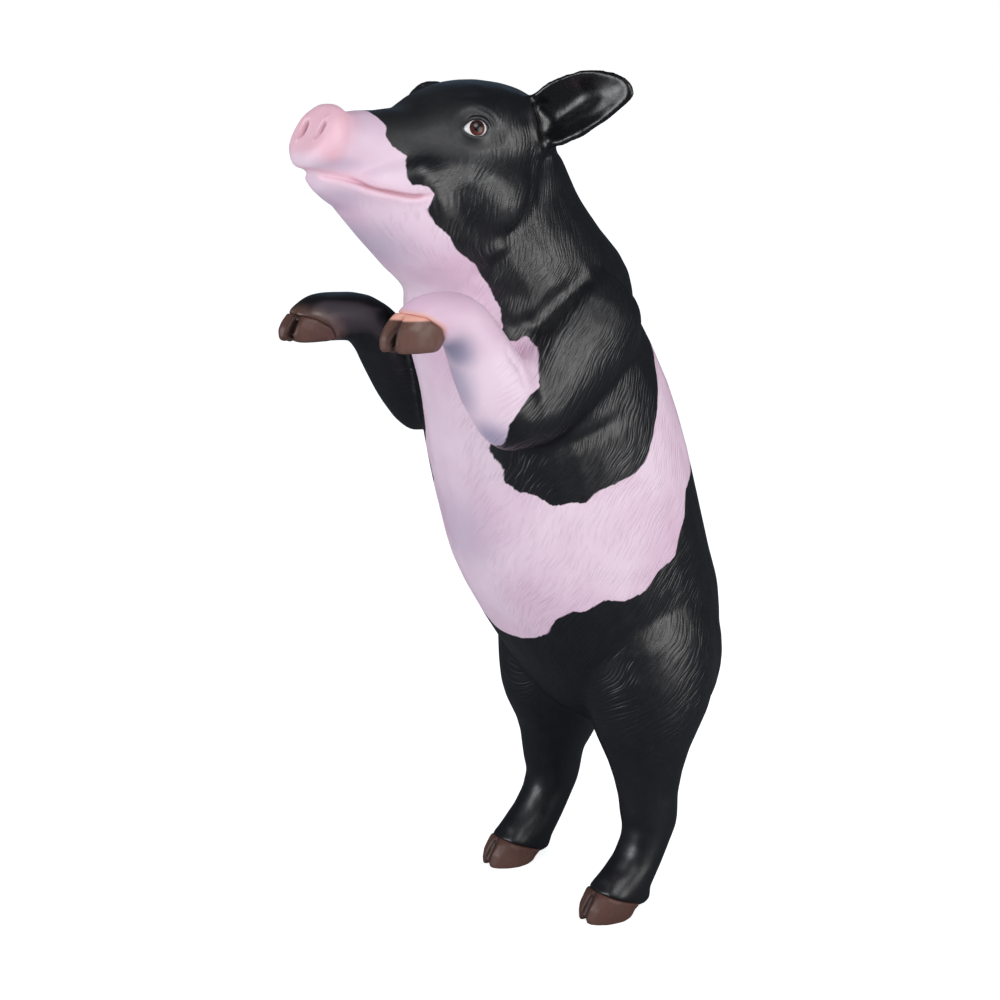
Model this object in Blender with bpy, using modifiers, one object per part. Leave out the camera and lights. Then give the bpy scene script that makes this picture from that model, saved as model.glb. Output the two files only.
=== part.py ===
"""A pig standing upright on its hind legs, fore legs raised: a painted cast figure, about one metre tall.

Metres, +Z up. The pig faces -Y, its left side is +X, and the floor is z = 0. It is shaped about the
midpoint between its hind feet, then moved so that the origin is the middle of its box, on the floor.
Lofted masses are joined on a voxel grid, smoothed and carved, then parted by thin cuts into named pieces.
"""

import math

import bmesh
import bpy
import numpy as np
from mathutils import Matrix, Vector

# Driving sizes, in metres.
VOXEL = 0.0040  # grid on which the masses are joined
SMOOTH_TURNS = 7  # softening of the joins between masses
TRIANGLES = 4900  # of the whole body, before it is parted
GAP = 0.0004  # thin cut between neighbouring pieces
FLAT = math.radians(0.4)  # faces of a cut within this angle are one face
SHARP = math.radians(40)  # edges steeper than this are drawn sharp
RING_POINTS = 32  # points round each loft ring
RING_STEPS = 6  # rings between two stations
FOOT_OUT = 0.100  # how far each hind foot stands from the midline
FORE_OUT = 0.110  # how far each fore leg is held from the midline
EYE_RADIUS = 0.0150
SOCKET_ROOM = 0.0005
EYE_PLACE = (0.0625, -0.1715, 0.9405)
EAR_THICKNESS = 0.0085
SIDES = {"left": 1, "right": -1}
UP = Vector((0, 0, 1))
AHEAD = Vector((0, -1, 0))

# name: (colour, roughness)
FINISHES = {
    "black_paint": ((0.012, 0.012, 0.014), 0.38),
    "pink_paint": ((0.72, 0.56, 0.62), 0.42),
    "snout_paint": ((0.88, 0.50, 0.54), 0.36),
    "hoof_paint": ((0.16, 0.085, 0.06), 0.35),
    "eye_gloss": ((0.10, 0.04, 0.02), 0.06),
}


def clear_scene():
    for obj in list(bpy.data.objects):
        bpy.data.objects.remove(obj, do_unlink=True)


def collection(name):
    made = bpy.data.collections.new(name)
    bpy.context.scene.collection.children.link(made)
    return made


def finish(name):
    colour, roughness = FINISHES[name]
    material = bpy.data.materials.get(name) or bpy.data.materials.new(name)
    material.use_nodes = True
    shader = material.node_tree.nodes["Principled BSDF"]
    shader.inputs["Base Color"].default_value = (*colour, 1)
    shader.inputs["Roughness"].default_value = roughness
    return material


def to_object(mesh, name):
    data = bpy.data.meshes.new(name)
    mesh.to_mesh(data)
    mesh.free()
    obj = bpy.data.objects.new(name, data)
    bpy.context.scene.collection.objects.link(obj)
    return obj


def spline(rows, steps=RING_STEPS):
    """Catmull-Rom curve through the rows, with this many steps between two of them."""
    rows = np.array(rows, float)
    ends = np.vstack([2 * rows[0] - rows[1], rows, 2 * rows[-1] - rows[-2]])
    out = []
    for a, b, c, d in zip(ends, ends[1:], ends[2:], ends[3:]):
        for t in np.arange(steps) / steps:
            bend = (2 * a - 5 * b + 4 * c - d) * t**2 + (3 * b - a - 3 * c + d) * t**3
            out.append(0.5 * (2 * b + (c - a) * t + bend))
    out.append(rows[-1])
    return np.array(out)


def loft(name, stations, front, level=False, squareness=2.0, out=0.0, side=1,
         points=RING_POINTS, steps=RING_STEPS):
    """A closed tube through stations of (x, y, z, across, towards, away): centre and three radii.

    across is the radius along X, towards the one on the side that front points to, and away the
    opposite one. Rings are square to the centre line, or level with the floor. out is added to
    every x, and side is -1 for the right of a pair.
    """
    rows = spline(stations, steps)
    rows[:, 0] = side * (rows[:, 0] + out)
    centres = rows[:, :3]
    tangents = np.gradient(centres, axis=0)
    power = 2.0 / squareness
    mesh = bmesh.new()
    rings = []
    for (x, y, z, across, towards, away), tangent in zip(rows, tangents):
        along = UP if level else Vector(tangent).normalized()
        ahead = (front - along * along.dot(front)).normalized()
        beside = along.cross(ahead).normalized()
        ring = []
        for turn in np.arange(points) * (2 * math.pi / points):
            c, s = math.cos(turn), math.sin(turn)
            c = math.copysign(abs(c) ** power, c)
            s = math.copysign(abs(s) ** power, s)
            reach = towards if s > 0 else away
            ring.append(mesh.verts.new(Vector((x, y, z)) + beside * (across * c) + ahead * (reach * s)))
        rings.append(ring)
    for low, high in zip(rings, rings[1:]):
        for k in range(points):
            n = (k + 1) % points
            mesh.faces.new((low[k], low[n], high[n], high[k]))
    mesh.faces.new(rings[0][::-1])
    mesh.faces.new(rings[-1])
    bmesh.ops.recalc_face_normals(mesh, faces=mesh.faces)
    return to_object(mesh, name)


def ball(name, centre, radii, turn=(0, 0, 0), segments=32):
    """An ellipsoid. turn is in degrees about X, then Y, then Z."""
    mesh = bmesh.new()
    bmesh.ops.create_uvsphere(mesh, u_segments=segments, v_segments=segments // 2, radius=1)
    rotation = Matrix.Identity(4)
    for angle, axis in zip(turn, "XYZ"):
        rotation = Matrix.Rotation(math.radians(angle), 4, axis) @ rotation
    place = Matrix.Translation(centre) @ rotation @ Matrix.Diagonal((*radii, 1))
    bmesh.ops.transform(mesh, matrix=place, verts=mesh.verts)
    return to_object(mesh, name)


# Stations from the crotch up to the withers; towards is the belly.
TRUNK = [
    (0, 0.105, 0.205, 0.022, 0.050, 0.030),
    (0, 0.098, 0.245, 0.085, 0.100, 0.072),
    (0, 0.082, 0.310, 0.124, 0.136, 0.129),
    (0, 0.060, 0.375, 0.133, 0.158, 0.153),
    (0, 0.035, 0.435, 0.136, 0.166, 0.159),
    (0, 0.013, 0.500, 0.137, 0.164, 0.161),
    (0, -0.010, 0.575, 0.137, 0.158, 0.160),
    (0, -0.030, 0.640, 0.133, 0.149, 0.154),
    (0, -0.048, 0.700, 0.124, 0.147, 0.140),
    (0, -0.066, 0.750, 0.112, 0.136, 0.125),
    (0, -0.085, 0.795, 0.092, 0.112, 0.100),
]
# From the chest up to the skull; towards is the throat.
NECK = [
    (0, -0.052, 0.700, 0.114, 0.140, 0.130),
    (0, -0.064, 0.755, 0.112, 0.136, 0.141),
    (0, -0.078, 0.790, 0.107, 0.158, 0.141),
    (0, -0.095, 0.826, 0.101, 0.178, 0.123),
    (0, -0.110, 0.862, 0.089, 0.197, 0.111),
    (0, -0.124, 0.888, 0.086, 0.200, 0.112),
    (0, -0.132, 0.910, 0.080, 0.150, 0.106),
    (0, -0.132, 0.926, 0.054, 0.090, 0.081),
]
# From the nape forward to the nose; towards is up.
HEAD = [
    (0, -0.050, 0.905, 0.048, 0.045, 0.045),
    (0, -0.075, 0.912, 0.074, 0.060, 0.060),
    (0, -0.110, 0.921, 0.084, 0.066, 0.065),
    (0, -0.145, 0.925, 0.082, 0.065, 0.065),
    (0, -0.180, 0.922, 0.071, 0.058, 0.062),
    (0, -0.215, 0.916, 0.057, 0.047, 0.056),
    (0, -0.250, 0.914, 0.047, 0.045, 0.049),
    (0, -0.285, 0.919, 0.041, 0.040, 0.044),
    (0, -0.308, 0.925, 0.037, 0.036, 0.040),
]
JAW = [
    (0, -0.150, 0.868, 0.060, 0.040, 0.050),
    (0, -0.200, 0.870, 0.054, 0.036, 0.051),
    (0, -0.245, 0.877, 0.045, 0.030, 0.045),
    (0, -0.285, 0.886, 0.035, 0.024, 0.035),
    (0, -0.312, 0.893, 0.028, 0.018, 0.028),
    (0, -0.330, 0.896, 0.020, 0.012, 0.019),
]
# The disc of the nose, looking ahead and up.
NOSE_CENTRE = Vector((0, -0.332, 0.936))
NOSE_PITCH = 31.0
NOSE_RINGS = [(-0.040, 0.034, 0.031), (-0.022, 0.038, 0.035), (-0.010, 0.042, 0.038), (0.000, 0.040, 0.036),
              (0.004, 0.033, 0.030)]  # (place along the nose, half width, half height)

# The right hock stands a little fuller and further back than the left.
HIND_LEG = {
    "left": [
        (-0.028, 0.070, 0.400, 0.050, 0.080, 0.070),
        (-0.022, 0.074, 0.340, 0.068, 0.090, 0.088),
        (-0.018, 0.072, 0.285, 0.071, 0.086, 0.088),
        (-0.014, 0.068, 0.234, 0.064, 0.070, 0.073),
        (-0.007, 0.067, 0.182, 0.047, 0.051, 0.042),
        (-0.002, 0.066, 0.142, 0.035, 0.043, 0.032),
        (-0.001, 0.066, 0.112, 0.033, 0.041, 0.031),
        (0.000, 0.058, 0.086, 0.030, 0.032, 0.027),
        (0.000, 0.043, 0.060, 0.030, 0.026, 0.028),
        (0.000, 0.024, 0.038, 0.031, 0.026, 0.033),
        (0.000, 0.006, 0.024, 0.029, 0.028, 0.034),
    ],
    "right": [
        (-0.028, 0.070, 0.400, 0.050, 0.080, 0.070),
        (-0.022, 0.074, 0.340, 0.068, 0.096, 0.088),
        (-0.018, 0.072, 0.285, 0.071, 0.093, 0.086),
        (-0.014, 0.068, 0.234, 0.065, 0.081, 0.078),
        (-0.007, 0.068, 0.182, 0.048, 0.054, 0.061),
        (-0.002, 0.067, 0.142, 0.036, 0.043, 0.044),
        (-0.001, 0.067, 0.112, 0.034, 0.037, 0.036),
        (0.000, 0.058, 0.086, 0.031, 0.030, 0.034),
        (0.000, 0.042, 0.060, 0.031, 0.028, 0.034),
        (0.000, 0.024, 0.038, 0.031, 0.029, 0.036),
        (0.000, 0.006, 0.024, 0.029, 0.028, 0.034),
    ],
}
HIND_HOOF = [
    (0.000, 0.014, 0.044, 0.024, 0.019, 0.020),
    (0.000, 0.004, 0.030, 0.029, 0.031, 0.031),
    (0.000, -0.001, 0.014, 0.030, 0.037, 0.034),
    (0.000, -0.003, 0.000, 0.029, 0.037, 0.034),
    (0.000, -0.003, -0.012, 0.027, 0.035, 0.032),
]
# Left and right fore legs are held a little apart: the right elbow hangs lower.
UPPER_ARM = {
    "left": [
        (-0.040, 0.000, 0.740, 0.050, 0.062, 0.060),
        (-0.026, -0.030, 0.716, 0.058, 0.070, 0.068),
        (-0.013, -0.072, 0.684, 0.054, 0.062, 0.064),
        (-0.004, -0.112, 0.650, 0.045, 0.050, 0.052),
        (0.000, -0.140, 0.630, 0.036, 0.038, 0.042),
        (0.000, -0.156, 0.617, 0.022, 0.022, 0.026),
    ],
    "right": [
        (-0.040, 0.010, 0.735, 0.050, 0.062, 0.060),
        (-0.026, -0.018, 0.706, 0.058, 0.070, 0.068),
        (-0.013, -0.052, 0.668, 0.054, 0.062, 0.064),
        (-0.004, -0.086, 0.636, 0.045, 0.050, 0.052),
        (0.000, -0.110, 0.616, 0.036, 0.038, 0.040),
        (0.000, -0.124, 0.604, 0.022, 0.022, 0.024),
    ],
}
FORE_ARM = {
    "left": [
        (0.000, -0.126, 0.610, 0.024, 0.020, 0.022),
        (0.000, -0.145, 0.630, 0.038, 0.036, 0.043),
        (0.000, -0.169, 0.664, 0.037, 0.037, 0.045),
        (-0.001, -0.189, 0.696, 0.033, 0.034, 0.041),
        (-0.001, -0.206, 0.723, 0.030, 0.031, 0.034),
        (-0.001, -0.224, 0.741, 0.029, 0.030, 0.028),
        (-0.001, -0.248, 0.747, 0.028, 0.028, 0.027),
        (-0.001, -0.268, 0.744, 0.027, 0.027, 0.027),
        (-0.001, -0.283, 0.737, 0.024, 0.024, 0.024),
    ],
    "right": [
        (0.000, -0.094, 0.596, 0.024, 0.020, 0.020),
        (0.000, -0.113, 0.614, 0.038, 0.036, 0.043),
        (0.000, -0.141, 0.646, 0.037, 0.038, 0.045),
        (-0.001, -0.167, 0.679, 0.034, 0.034, 0.040),
        (-0.001, -0.190, 0.706, 0.030, 0.031, 0.033),
        (-0.001, -0.214, 0.722, 0.029, 0.029, 0.028),
        (-0.001, -0.242, 0.727, 0.028, 0.027, 0.028),
        (-0.001, -0.265, 0.726, 0.027, 0.028, 0.028),
        (-0.001, -0.282, 0.720, 0.024, 0.026, 0.024),
    ],
}
# From the pastern down to the flat sole, held level; towards is ahead.
FORE_HOOF = {
    "left": [
        (0.000, -0.264, 0.762, 0.020, 0.024, 0.016),
        (0.000, -0.272, 0.750, 0.026, 0.033, 0.022),
        (0.000, -0.277, 0.738, 0.029, 0.038, 0.025),
        (0.000, -0.279, 0.726, 0.029, 0.041, 0.026),
        (0.000, -0.279, 0.716, 0.028, 0.039, 0.025),
    ],
    "right": [
        (0.000, -0.252, 0.750, 0.020, 0.028, 0.016),
        (0.000, -0.259, 0.738, 0.027, 0.039, 0.026),
        (0.000, -0.265, 0.725, 0.030, 0.044, 0.030),
        (0.000, -0.269, 0.713, 0.030, 0.047, 0.030),
        (0.000, -0.270, 0.702, 0.028, 0.044, 0.028),
    ],
}

BULGES = {  # name: (centre on the left side, radii, turn in degrees)
    "cheek": ((0.056, -0.144, 0.860), (0.046, 0.066, 0.064), (20, 0, 0)),
    "ham": ((0.066, 0.098, 0.305), (0.068, 0.090, 0.110), (0, 0, 0)),
    "blade": ((0.072, -0.046, 0.712), (0.054, 0.080, 0.090), (-12, 0, 0)),
    "brow": ((0.050, -0.160, 0.949), (0.026, 0.040, 0.026), (0, 0, 0)),
}
DEWCLAW_PLACE = (0.040, 0.020)  # y and z
DEWCLAW_APART = 0.014  # half the distance between the two of a foot
DEWCLAW_RADII = (0.0105, 0.013, 0.013)
DEWCLAW_TILT = -25

# The ear is a cupped leaf: (share of its length, half width, depth of the cup, rise of its middle line).
EAR_ROOT = Vector((0.052, -0.104, 0.942))
EAR_TIP = {"left": Vector((0.165, -0.035, 0.980)), "right": Vector((0.163, -0.111, 0.960))}
EAR_LEAF = [
    (0.00, 0.024, 0.016, -0.004),
    (0.14, 0.030, 0.020, -0.004),
    (0.32, 0.034, 0.020, 0.000),
    (0.52, 0.034, 0.016, 0.003),
    (0.70, 0.029, 0.011, 0.005),
    (0.86, 0.020, 0.006, 0.004),
    (0.96, 0.012, 0.002, 0.002),
    (1.00, 0.005, 0.000, 0.000),
]
EAR_FACING = Vector((0.52, -0.85, 0.07))
EAR_STEPS = 3  # rows between two stations of the leaf
EAR_COLUMNS = 13


def ear(name, side_name):
    """A leaf cupped towards EAR_FACING, given its thickness by Solidify."""
    side = SIDES[side_name]
    axis = EAR_TIP[side_name] - EAR_ROOT
    along = axis.normalized()
    facing = (EAR_FACING - along * along.dot(EAR_FACING)).normalized()
    height = facing.cross(along).normalized()
    if height.z < 0:
        height.negate()
    mesh = bmesh.new()
    rows = []
    for share, half, cup, rise in spline(EAR_LEAF, EAR_STEPS):
        row = []
        for v in np.linspace(-1, 1, EAR_COLUMNS):
            place = EAR_ROOT + axis * share + height * (half * v + rise) - facing * (cup * (1 - v * v))
            row.append(mesh.verts.new((side * place.x, place.y, place.z)))
        rows.append(row)
    for low, high in zip(rows, rows[1:]):
        for k in range(len(low) - 1):
            mesh.faces.new((low[k], low[k + 1], high[k + 1], high[k]))
    bmesh.ops.recalc_face_normals(mesh, faces=mesh.faces)
    made = to_object(mesh, name)
    shell = made.modifiers.new("thickness", "SOLIDIFY")
    shell.thickness = EAR_THICKNESS
    shell.offset = 0
    return made


def nose():
    pitch = math.radians(NOSE_PITCH)
    look = Vector((0, -math.cos(pitch), math.sin(pitch)))
    stations = []
    for along, half_width, half_height in NOSE_RINGS:
        place = NOSE_CENTRE + look * along
        stations.append((*place, half_width, half_height, half_height))
    return loft("nose_mass", stations, UP, squareness=2.2)


def masses():
    made = [
        loft("trunk_mass", TRUNK, AHEAD, level=True, squareness=2.1),
        loft("neck_mass", NECK, AHEAD, level=True),
        loft("head_mass", HEAD, UP, squareness=2.2),
        loft("jaw_mass", JAW, UP),
        nose(),
    ]
    for name, side in SIDES.items():
        made += [
            loft(f"hind_{name}", HIND_LEG[name], AHEAD, out=FOOT_OUT, side=side),
            loft(f"hind_hoof_{name}", HIND_HOOF, AHEAD, level=True, out=FOOT_OUT, side=side),
            loft(f"upper_arm_{name}", UPPER_ARM[name], UP, out=FORE_OUT, side=side),
            loft(f"fore_arm_{name}", FORE_ARM[name], UP, out=FORE_OUT, side=side),
            loft(f"fore_hoof_{name}", FORE_HOOF[name], AHEAD, level=True, out=FORE_OUT, side=side),
            ear(f"ear_mass_{name}", name),
        ]
        for bulge, ((x, y, z), radii, turn) in BULGES.items():
            made.append(ball(f"{bulge}_{name}", (side * x, y, z), radii, turn))
        for apart in (-DEWCLAW_APART, DEWCLAW_APART):
            place = (side * (FOOT_OUT + apart), *DEWCLAW_PLACE)
            made.append(ball(f"dewclaw_{name}", place, DEWCLAW_RADII, (DEWCLAW_TILT, 0, 0), 16))
    return made


def evaluated(obj):
    """The object's mesh with its modifiers applied."""
    graph = bpy.context.evaluated_depsgraph_get()
    return bpy.data.meshes.new_from_object(obj.evaluated_get(graph))


def joined(objects, name):
    """All the objects in one mesh, their originals removed."""
    mesh = bmesh.new()
    for obj in objects:
        mesh.from_mesh(evaluated(obj))
        bpy.data.objects.remove(obj, do_unlink=True)
    return to_object(mesh, name)


def bake(obj):
    """The modifiers' result in place of the object's own mesh."""
    obj.data = evaluated(obj)
    obj.modifiers.clear()


def cast():
    """The whole body as one smooth closed surface."""
    body = joined(masses(), "body")
    remesh = body.modifiers.new("grid", "REMESH")
    remesh.mode = "VOXEL"
    remesh.voxel_size = VOXEL
    soften = body.modifiers.new("soften", "SMOOTH")
    soften.factor = 0.5
    soften.iterations = SMOOTH_TURNS
    bake(body)
    return body


NOSTRIL_OUT = 0.0175
NOSTRIL_AHEAD = 0.004
NOSTRIL_RADII = (0.0050, 0.0090, 0.0095)
NOSTRIL_SLANT = 14

# Carving: lines along the skin, each for the left side and mirrored for the right.
LIP_LINE = [(0.000, -0.346, 0.896), (0.013, -0.341, 0.896), (0.024, -0.325, 0.893), (0.033, -0.306, 0.888),
            (0.044, -0.288, 0.880), (0.052, -0.270, 0.875), (0.060, -0.250, 0.871), (0.066, -0.233, 0.872)]
LIP_WIDTH = 0.0045
LIP_DEPTH = 0.0045
LOWER_LIP_DROP = 0.0085
LOWER_LIP_SPREAD = 1.6  # its width and height, as shares of the groove's
LOWER_LIP_HEIGHT = 0.5
FOLDS = {  # name: (line, width, depth)
    "jowl": ([(0.077, -0.080, 0.905), (0.093, -0.102, 0.863), (0.099, -0.127, 0.827), (0.095, -0.153, 0.799),
              (0.084, -0.174, 0.785)], 0.010, 0.006),
    "shoulder": ([(0.100, -0.140, 0.727), (0.108, -0.115, 0.736), (0.111, -0.090, 0.755),
                  (0.112, -0.060, 0.775)], 0.010, 0.006),
}
EYE_HOLLOW_OUT = 0.008  # the hollow's middle, beyond the eye's
EYE_HOLLOW_RADIUS = 0.020
EYE_HOLLOW_DEPTH = 0.0035
CLEFT_WIDTH = 0.0040
CLEFT_DEPTH = 0.0070
HIND_CLEFT = [(0.000, -0.028, 0.036), (0.000, -0.038, 0.016), (0.000, -0.041, 0.000), (0.000, 0.000, -0.003)]
FORE_CLEFT = {
    "left": [(0.000, -0.305, 0.752), (0.000, -0.319, 0.722), (0.000, -0.316, 0.714), (0.000, -0.270, 0.713)],
    "right": [(0.000, -0.297, 0.742), (0.000, -0.315, 0.712), (0.000, -0.311, 0.702), (0.000, -0.262, 0.699)],
}


def distance_to_line(points, line):
    """How far each point is from the broken line."""
    nearest = np.full(len(points), np.inf)
    for a, b in zip(line, line[1:]):
        a, b = np.array(a), np.array(b)
        share = np.clip((points - a) @ (b - a) / ((b - a) @ (b - a)), 0, 1)
        nearest = np.minimum(nearest, np.linalg.norm(points - a - share[:, None] * (b - a), axis=1))
    return nearest


def mirrored(line, side, out=0.0):
    return spline([(side * (x + out), y, z) for x, y, z in line], 4)


def groove(points, normals, line, width, depth):
    """Sinks the skin along a line, or raises it where depth is negative."""
    near = np.exp(-((distance_to_line(points, line) / width) ** 2))
    return points - normals * (depth * near)[:, None]


def carve(body):
    """The mouth, the hollows round the eyes, the folds and the clefts of the hooves."""
    data = body.data
    count = len(data.vertices)
    points = np.zeros(count * 3)
    data.vertices.foreach_get("co", points)
    points = points.reshape(-1, 3)
    normals = np.zeros(count * 3)
    data.vertices.foreach_get("normal", normals)
    normals = normals.reshape(-1, 3)
    for name, side in SIDES.items():
        lip = mirrored(LIP_LINE, side)
        below = lip - (0, 0, LOWER_LIP_DROP)
        points = groove(points, normals, below, LIP_WIDTH * LOWER_LIP_SPREAD, -LIP_DEPTH * LOWER_LIP_HEIGHT)
        points = groove(points, normals, lip, LIP_WIDTH, LIP_DEPTH)
        for line, width, depth in FOLDS.values():
            points = groove(points, normals, mirrored(line, side), width, depth)
        for line, out in ((HIND_CLEFT, FOOT_OUT), (FORE_CLEFT[name], FORE_OUT)):
            points = groove(points, normals, mirrored(line, side, out), CLEFT_WIDTH, CLEFT_DEPTH)
        x, y, z = EYE_PLACE
        eye = np.array([(side * (x + EYE_HOLLOW_OUT), y, z)])
        hollow = np.exp(-((np.linalg.norm(points - eye, axis=1) / EYE_HOLLOW_RADIUS) ** 2))
        points -= normals * (EYE_HOLLOW_DEPTH * hollow)[:, None]
    data.vertices.foreach_set("co", points.ravel())
    data.update()


def nostrils(body):
    """Two slanted slots in the disc of the nose."""
    pitch = math.radians(NOSE_PITCH)
    look = Vector((0, -math.cos(pitch), math.sin(pitch)))
    for side in SIDES.values():
        place = NOSE_CENTRE + look * NOSTRIL_AHEAD + Vector((side * NOSTRIL_OUT, 0, 0))
        slot = ball("nostril", place, NOSTRIL_RADII, (-NOSE_PITCH, side * NOSTRIL_SLANT, 0), 12)
        boolean(body, "DIFFERENCE", slot)
        bpy.data.objects.remove(slot, do_unlink=True)


def thin_out(body):
    """Fewer, larger triangles, smallest where the form turns most."""
    fewer = body.modifiers.new("fewer", "DECIMATE")
    body.data.calc_loop_triangles()
    fewer.ratio = TRIANGLES / len(body.data.loop_triangles)
    bake(body)


def prism(name, outline, low, high, axis="X"):
    """The closed outline, in the two other axes, drawn out along one axis from low to high."""
    mesh = bmesh.new()
    place = {
        "X": lambda u, v, w: (w, u, v),
        "Y": lambda u, v, w: (u, w, v),
    }[axis]
    ends = []
    for w in (low, high):
        ends.append([mesh.verts.new(place(u, v, w)) for u, v in outline])
    for k in range(len(outline)):
        n = (k + 1) % len(outline)
        mesh.faces.new((ends[0][k], ends[0][n], ends[1][n], ends[1][k]))
    mesh.faces.new(ends[0])
    mesh.faces.new(ends[1])
    bmesh.ops.recalc_face_normals(mesh, faces=mesh.faces)
    return to_object(mesh, name)


def block(name, face, look, half_width, depth):
    """A box whose middle of one face is at face, reaching depth along look."""
    mesh = bmesh.new()
    bmesh.ops.create_cube(mesh, size=1)
    turn = look.to_track_quat("Z", "Y").to_matrix().to_4x4()
    place = Matrix.Translation(face + look.normalized() * depth / 2) @ turn
    place = place @ Matrix.Diagonal((2 * half_width, 2 * half_width, depth, 1))
    bmesh.ops.transform(mesh, matrix=place, verts=mesh.verts)
    return to_object(mesh, name)


def grown(obj, by):
    """A copy, its surface moved out by this much."""
    mesh = bmesh.new()
    mesh.from_mesh(obj.data)
    bmesh.ops.recalc_face_normals(mesh, faces=mesh.faces)
    mesh.normal_update()
    moves = [(vert, vert.co + vert.normal * (vert.calc_shell_factor() * by)) for vert in mesh.verts]
    for vert, place in moves:
        vert.co = place
    return to_object(mesh, obj.name + "_grown")


def boolean(obj, operation, cutter):
    cut = obj.modifiers.new(operation.lower(), "BOOLEAN")
    cut.operation = operation
    cut.solver = "EXACT"
    cut.object = cutter
    bake(obj)


def keep_largest(obj):
    """Drops crumbs that a cut leaves beside the main body."""
    mesh = bmesh.new()
    mesh.from_mesh(obj.data)
    bmesh.ops.remove_doubles(mesh, verts=mesh.verts, dist=1e-6)
    mesh.verts.ensure_lookup_table()
    left = set(mesh.verts)
    groups = []
    while left:
        front = [left.pop()]
        group = list(front)
        while front:
            for edge in front.pop().link_edges:
                for vert in edge.verts:
                    if vert in left:
                        left.remove(vert)
                        front.append(vert)
                        group.append(vert)
        groups.append(group)
    groups.sort(key=len)
    for group in groups[:-1]:
        bmesh.ops.delete(mesh, geom=group, context="VERTS")
    bmesh.ops.dissolve_limit(mesh, angle_limit=FLAT, verts=mesh.verts, edges=mesh.edges)
    bmesh.ops.triangulate(mesh, faces=mesh.faces)
    mesh.to_mesh(obj.data)
    mesh.free()


def take(body, region, name, paint, into):
    """Moves what lies in the region from the body to a piece of its own, a thin cut apart."""
    piece = bpy.data.objects.new(name, body.data.copy())
    bpy.context.scene.collection.objects.link(piece)
    boolean(piece, "INTERSECT", region)
    wider = grown(region, GAP)
    boolean(body, "DIFFERENCE", wider)
    for cutter in (region, wider):
        bpy.data.objects.remove(cutter, do_unlink=True)
    keep_largest(piece)
    keep_largest(body)
    settle(piece, paint, into)


def settle(piece, paint, into):
    """Gives a finished piece its paint and its place in the model's collection."""
    for user in list(piece.users_collection):
        user.objects.unlink(piece)
    into.objects.link(piece)
    piece.data.materials.clear()
    piece.data.materials.append(finish(paint))
    piece.data.shade_smooth()
    piece.data.set_sharp_from_angle(angle=SHARP)


# Outlines of the pieces, seen from the side as (y, z) or from ahead as (x, z).
HEAD_OUTLINE = [(0.06, 0.960), (0.02, 0.925), (-0.030, 0.880), (-0.085, 0.822), (-0.135, 0.786),
                (-0.190, 0.776), (-0.250, 0.792), (-0.420, 0.850), (-0.420, 1.100), (0.06, 1.100)]
NECK_OUTLINE = [(0.160, 0.860), (0.080, 0.790), (-0.040, 0.745), (-0.160, 0.725), (-0.300, 0.700),
                (-0.420, 0.840), (-0.420, 1.100), (0.160, 1.100)]
FORE_LEG_OUTLINE = [(-0.350, 0.800), (-0.350, 0.680), (-0.238, 0.670), (-0.206, 0.590), (-0.145, 0.566),
                    (-0.090, 0.580), (-0.040, 0.630), (-0.010, 0.680), (-0.030, 0.730), (-0.085, 0.748),
                    (-0.130, 0.742), (-0.160, 0.800)]
FORE_LEG_SHIFT = {"left": (0.0, 0.0), "right": (0.028, -0.020)}
FORE_LEG_INNER = 0.066
CORE_DEPTH = 0.008  # the fore legs are let into the chest by this much
FORE_HOOF_OUTLINE = {
    "left": [(-0.360, 0.768), (-0.360, 0.680), (-0.252, 0.680), (-0.252, 0.722), (-0.262, 0.739),
             (-0.282, 0.752), (-0.310, 0.758)],
    "right": [(-0.360, 0.758), (-0.360, 0.670), (-0.258, 0.670), (-0.258, 0.706), (-0.266, 0.717),
              (-0.284, 0.728), (-0.310, 0.735)],
}
HIND_HOOF_OUTLINE = [(-0.090, -0.020), (-0.090, 0.054), (-0.026, 0.036), (0.031, 0.012), (0.034, -0.020)]
HIND_LEG_OUTLINE = [(0.004, -0.050), (0.004, 0.205), (0.055, 0.262), (0.100, 0.312), (0.140, 0.360),
                    (0.220, 0.380), (0.220, -0.050)]
HOOF_INNER = 0.020  # a hind hoof's cutter starts this far from the midline
LEG_REACH = 0.22  # and the cutters of all four legs end this far out
CLEAR = 0.50  # further out than any part of the body
SNOUT_DEPTH = 0.013  # of the nose's disc, cut off as a piece of its own
SNOUT_BLOCK = (0.056, 0.060)  # half width and depth of its cutter
EAR_CUT = 0.032  # from an ear's root to where it is parted from the head
EAR_BLOCK = (0.046, 0.160)


def core():
    """The inside of the chest, which the fore legs leave whole."""
    def shrunk(stations):
        return [(x, y, z, a - CORE_DEPTH, t - CORE_DEPTH, b - CORE_DEPTH) for x, y, z, a, t, b in stations]

    coarse = {"points": 16, "steps": 1}
    trunk = loft("core", shrunk(TRUNK), AHEAD, level=True, squareness=2.1, **coarse)
    neck = loft("core_neck", shrunk(NECK), AHEAD, level=True, **coarse)
    boolean(trunk, "UNION", neck)
    bpy.data.objects.remove(neck, do_unlink=True)
    return trunk


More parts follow.
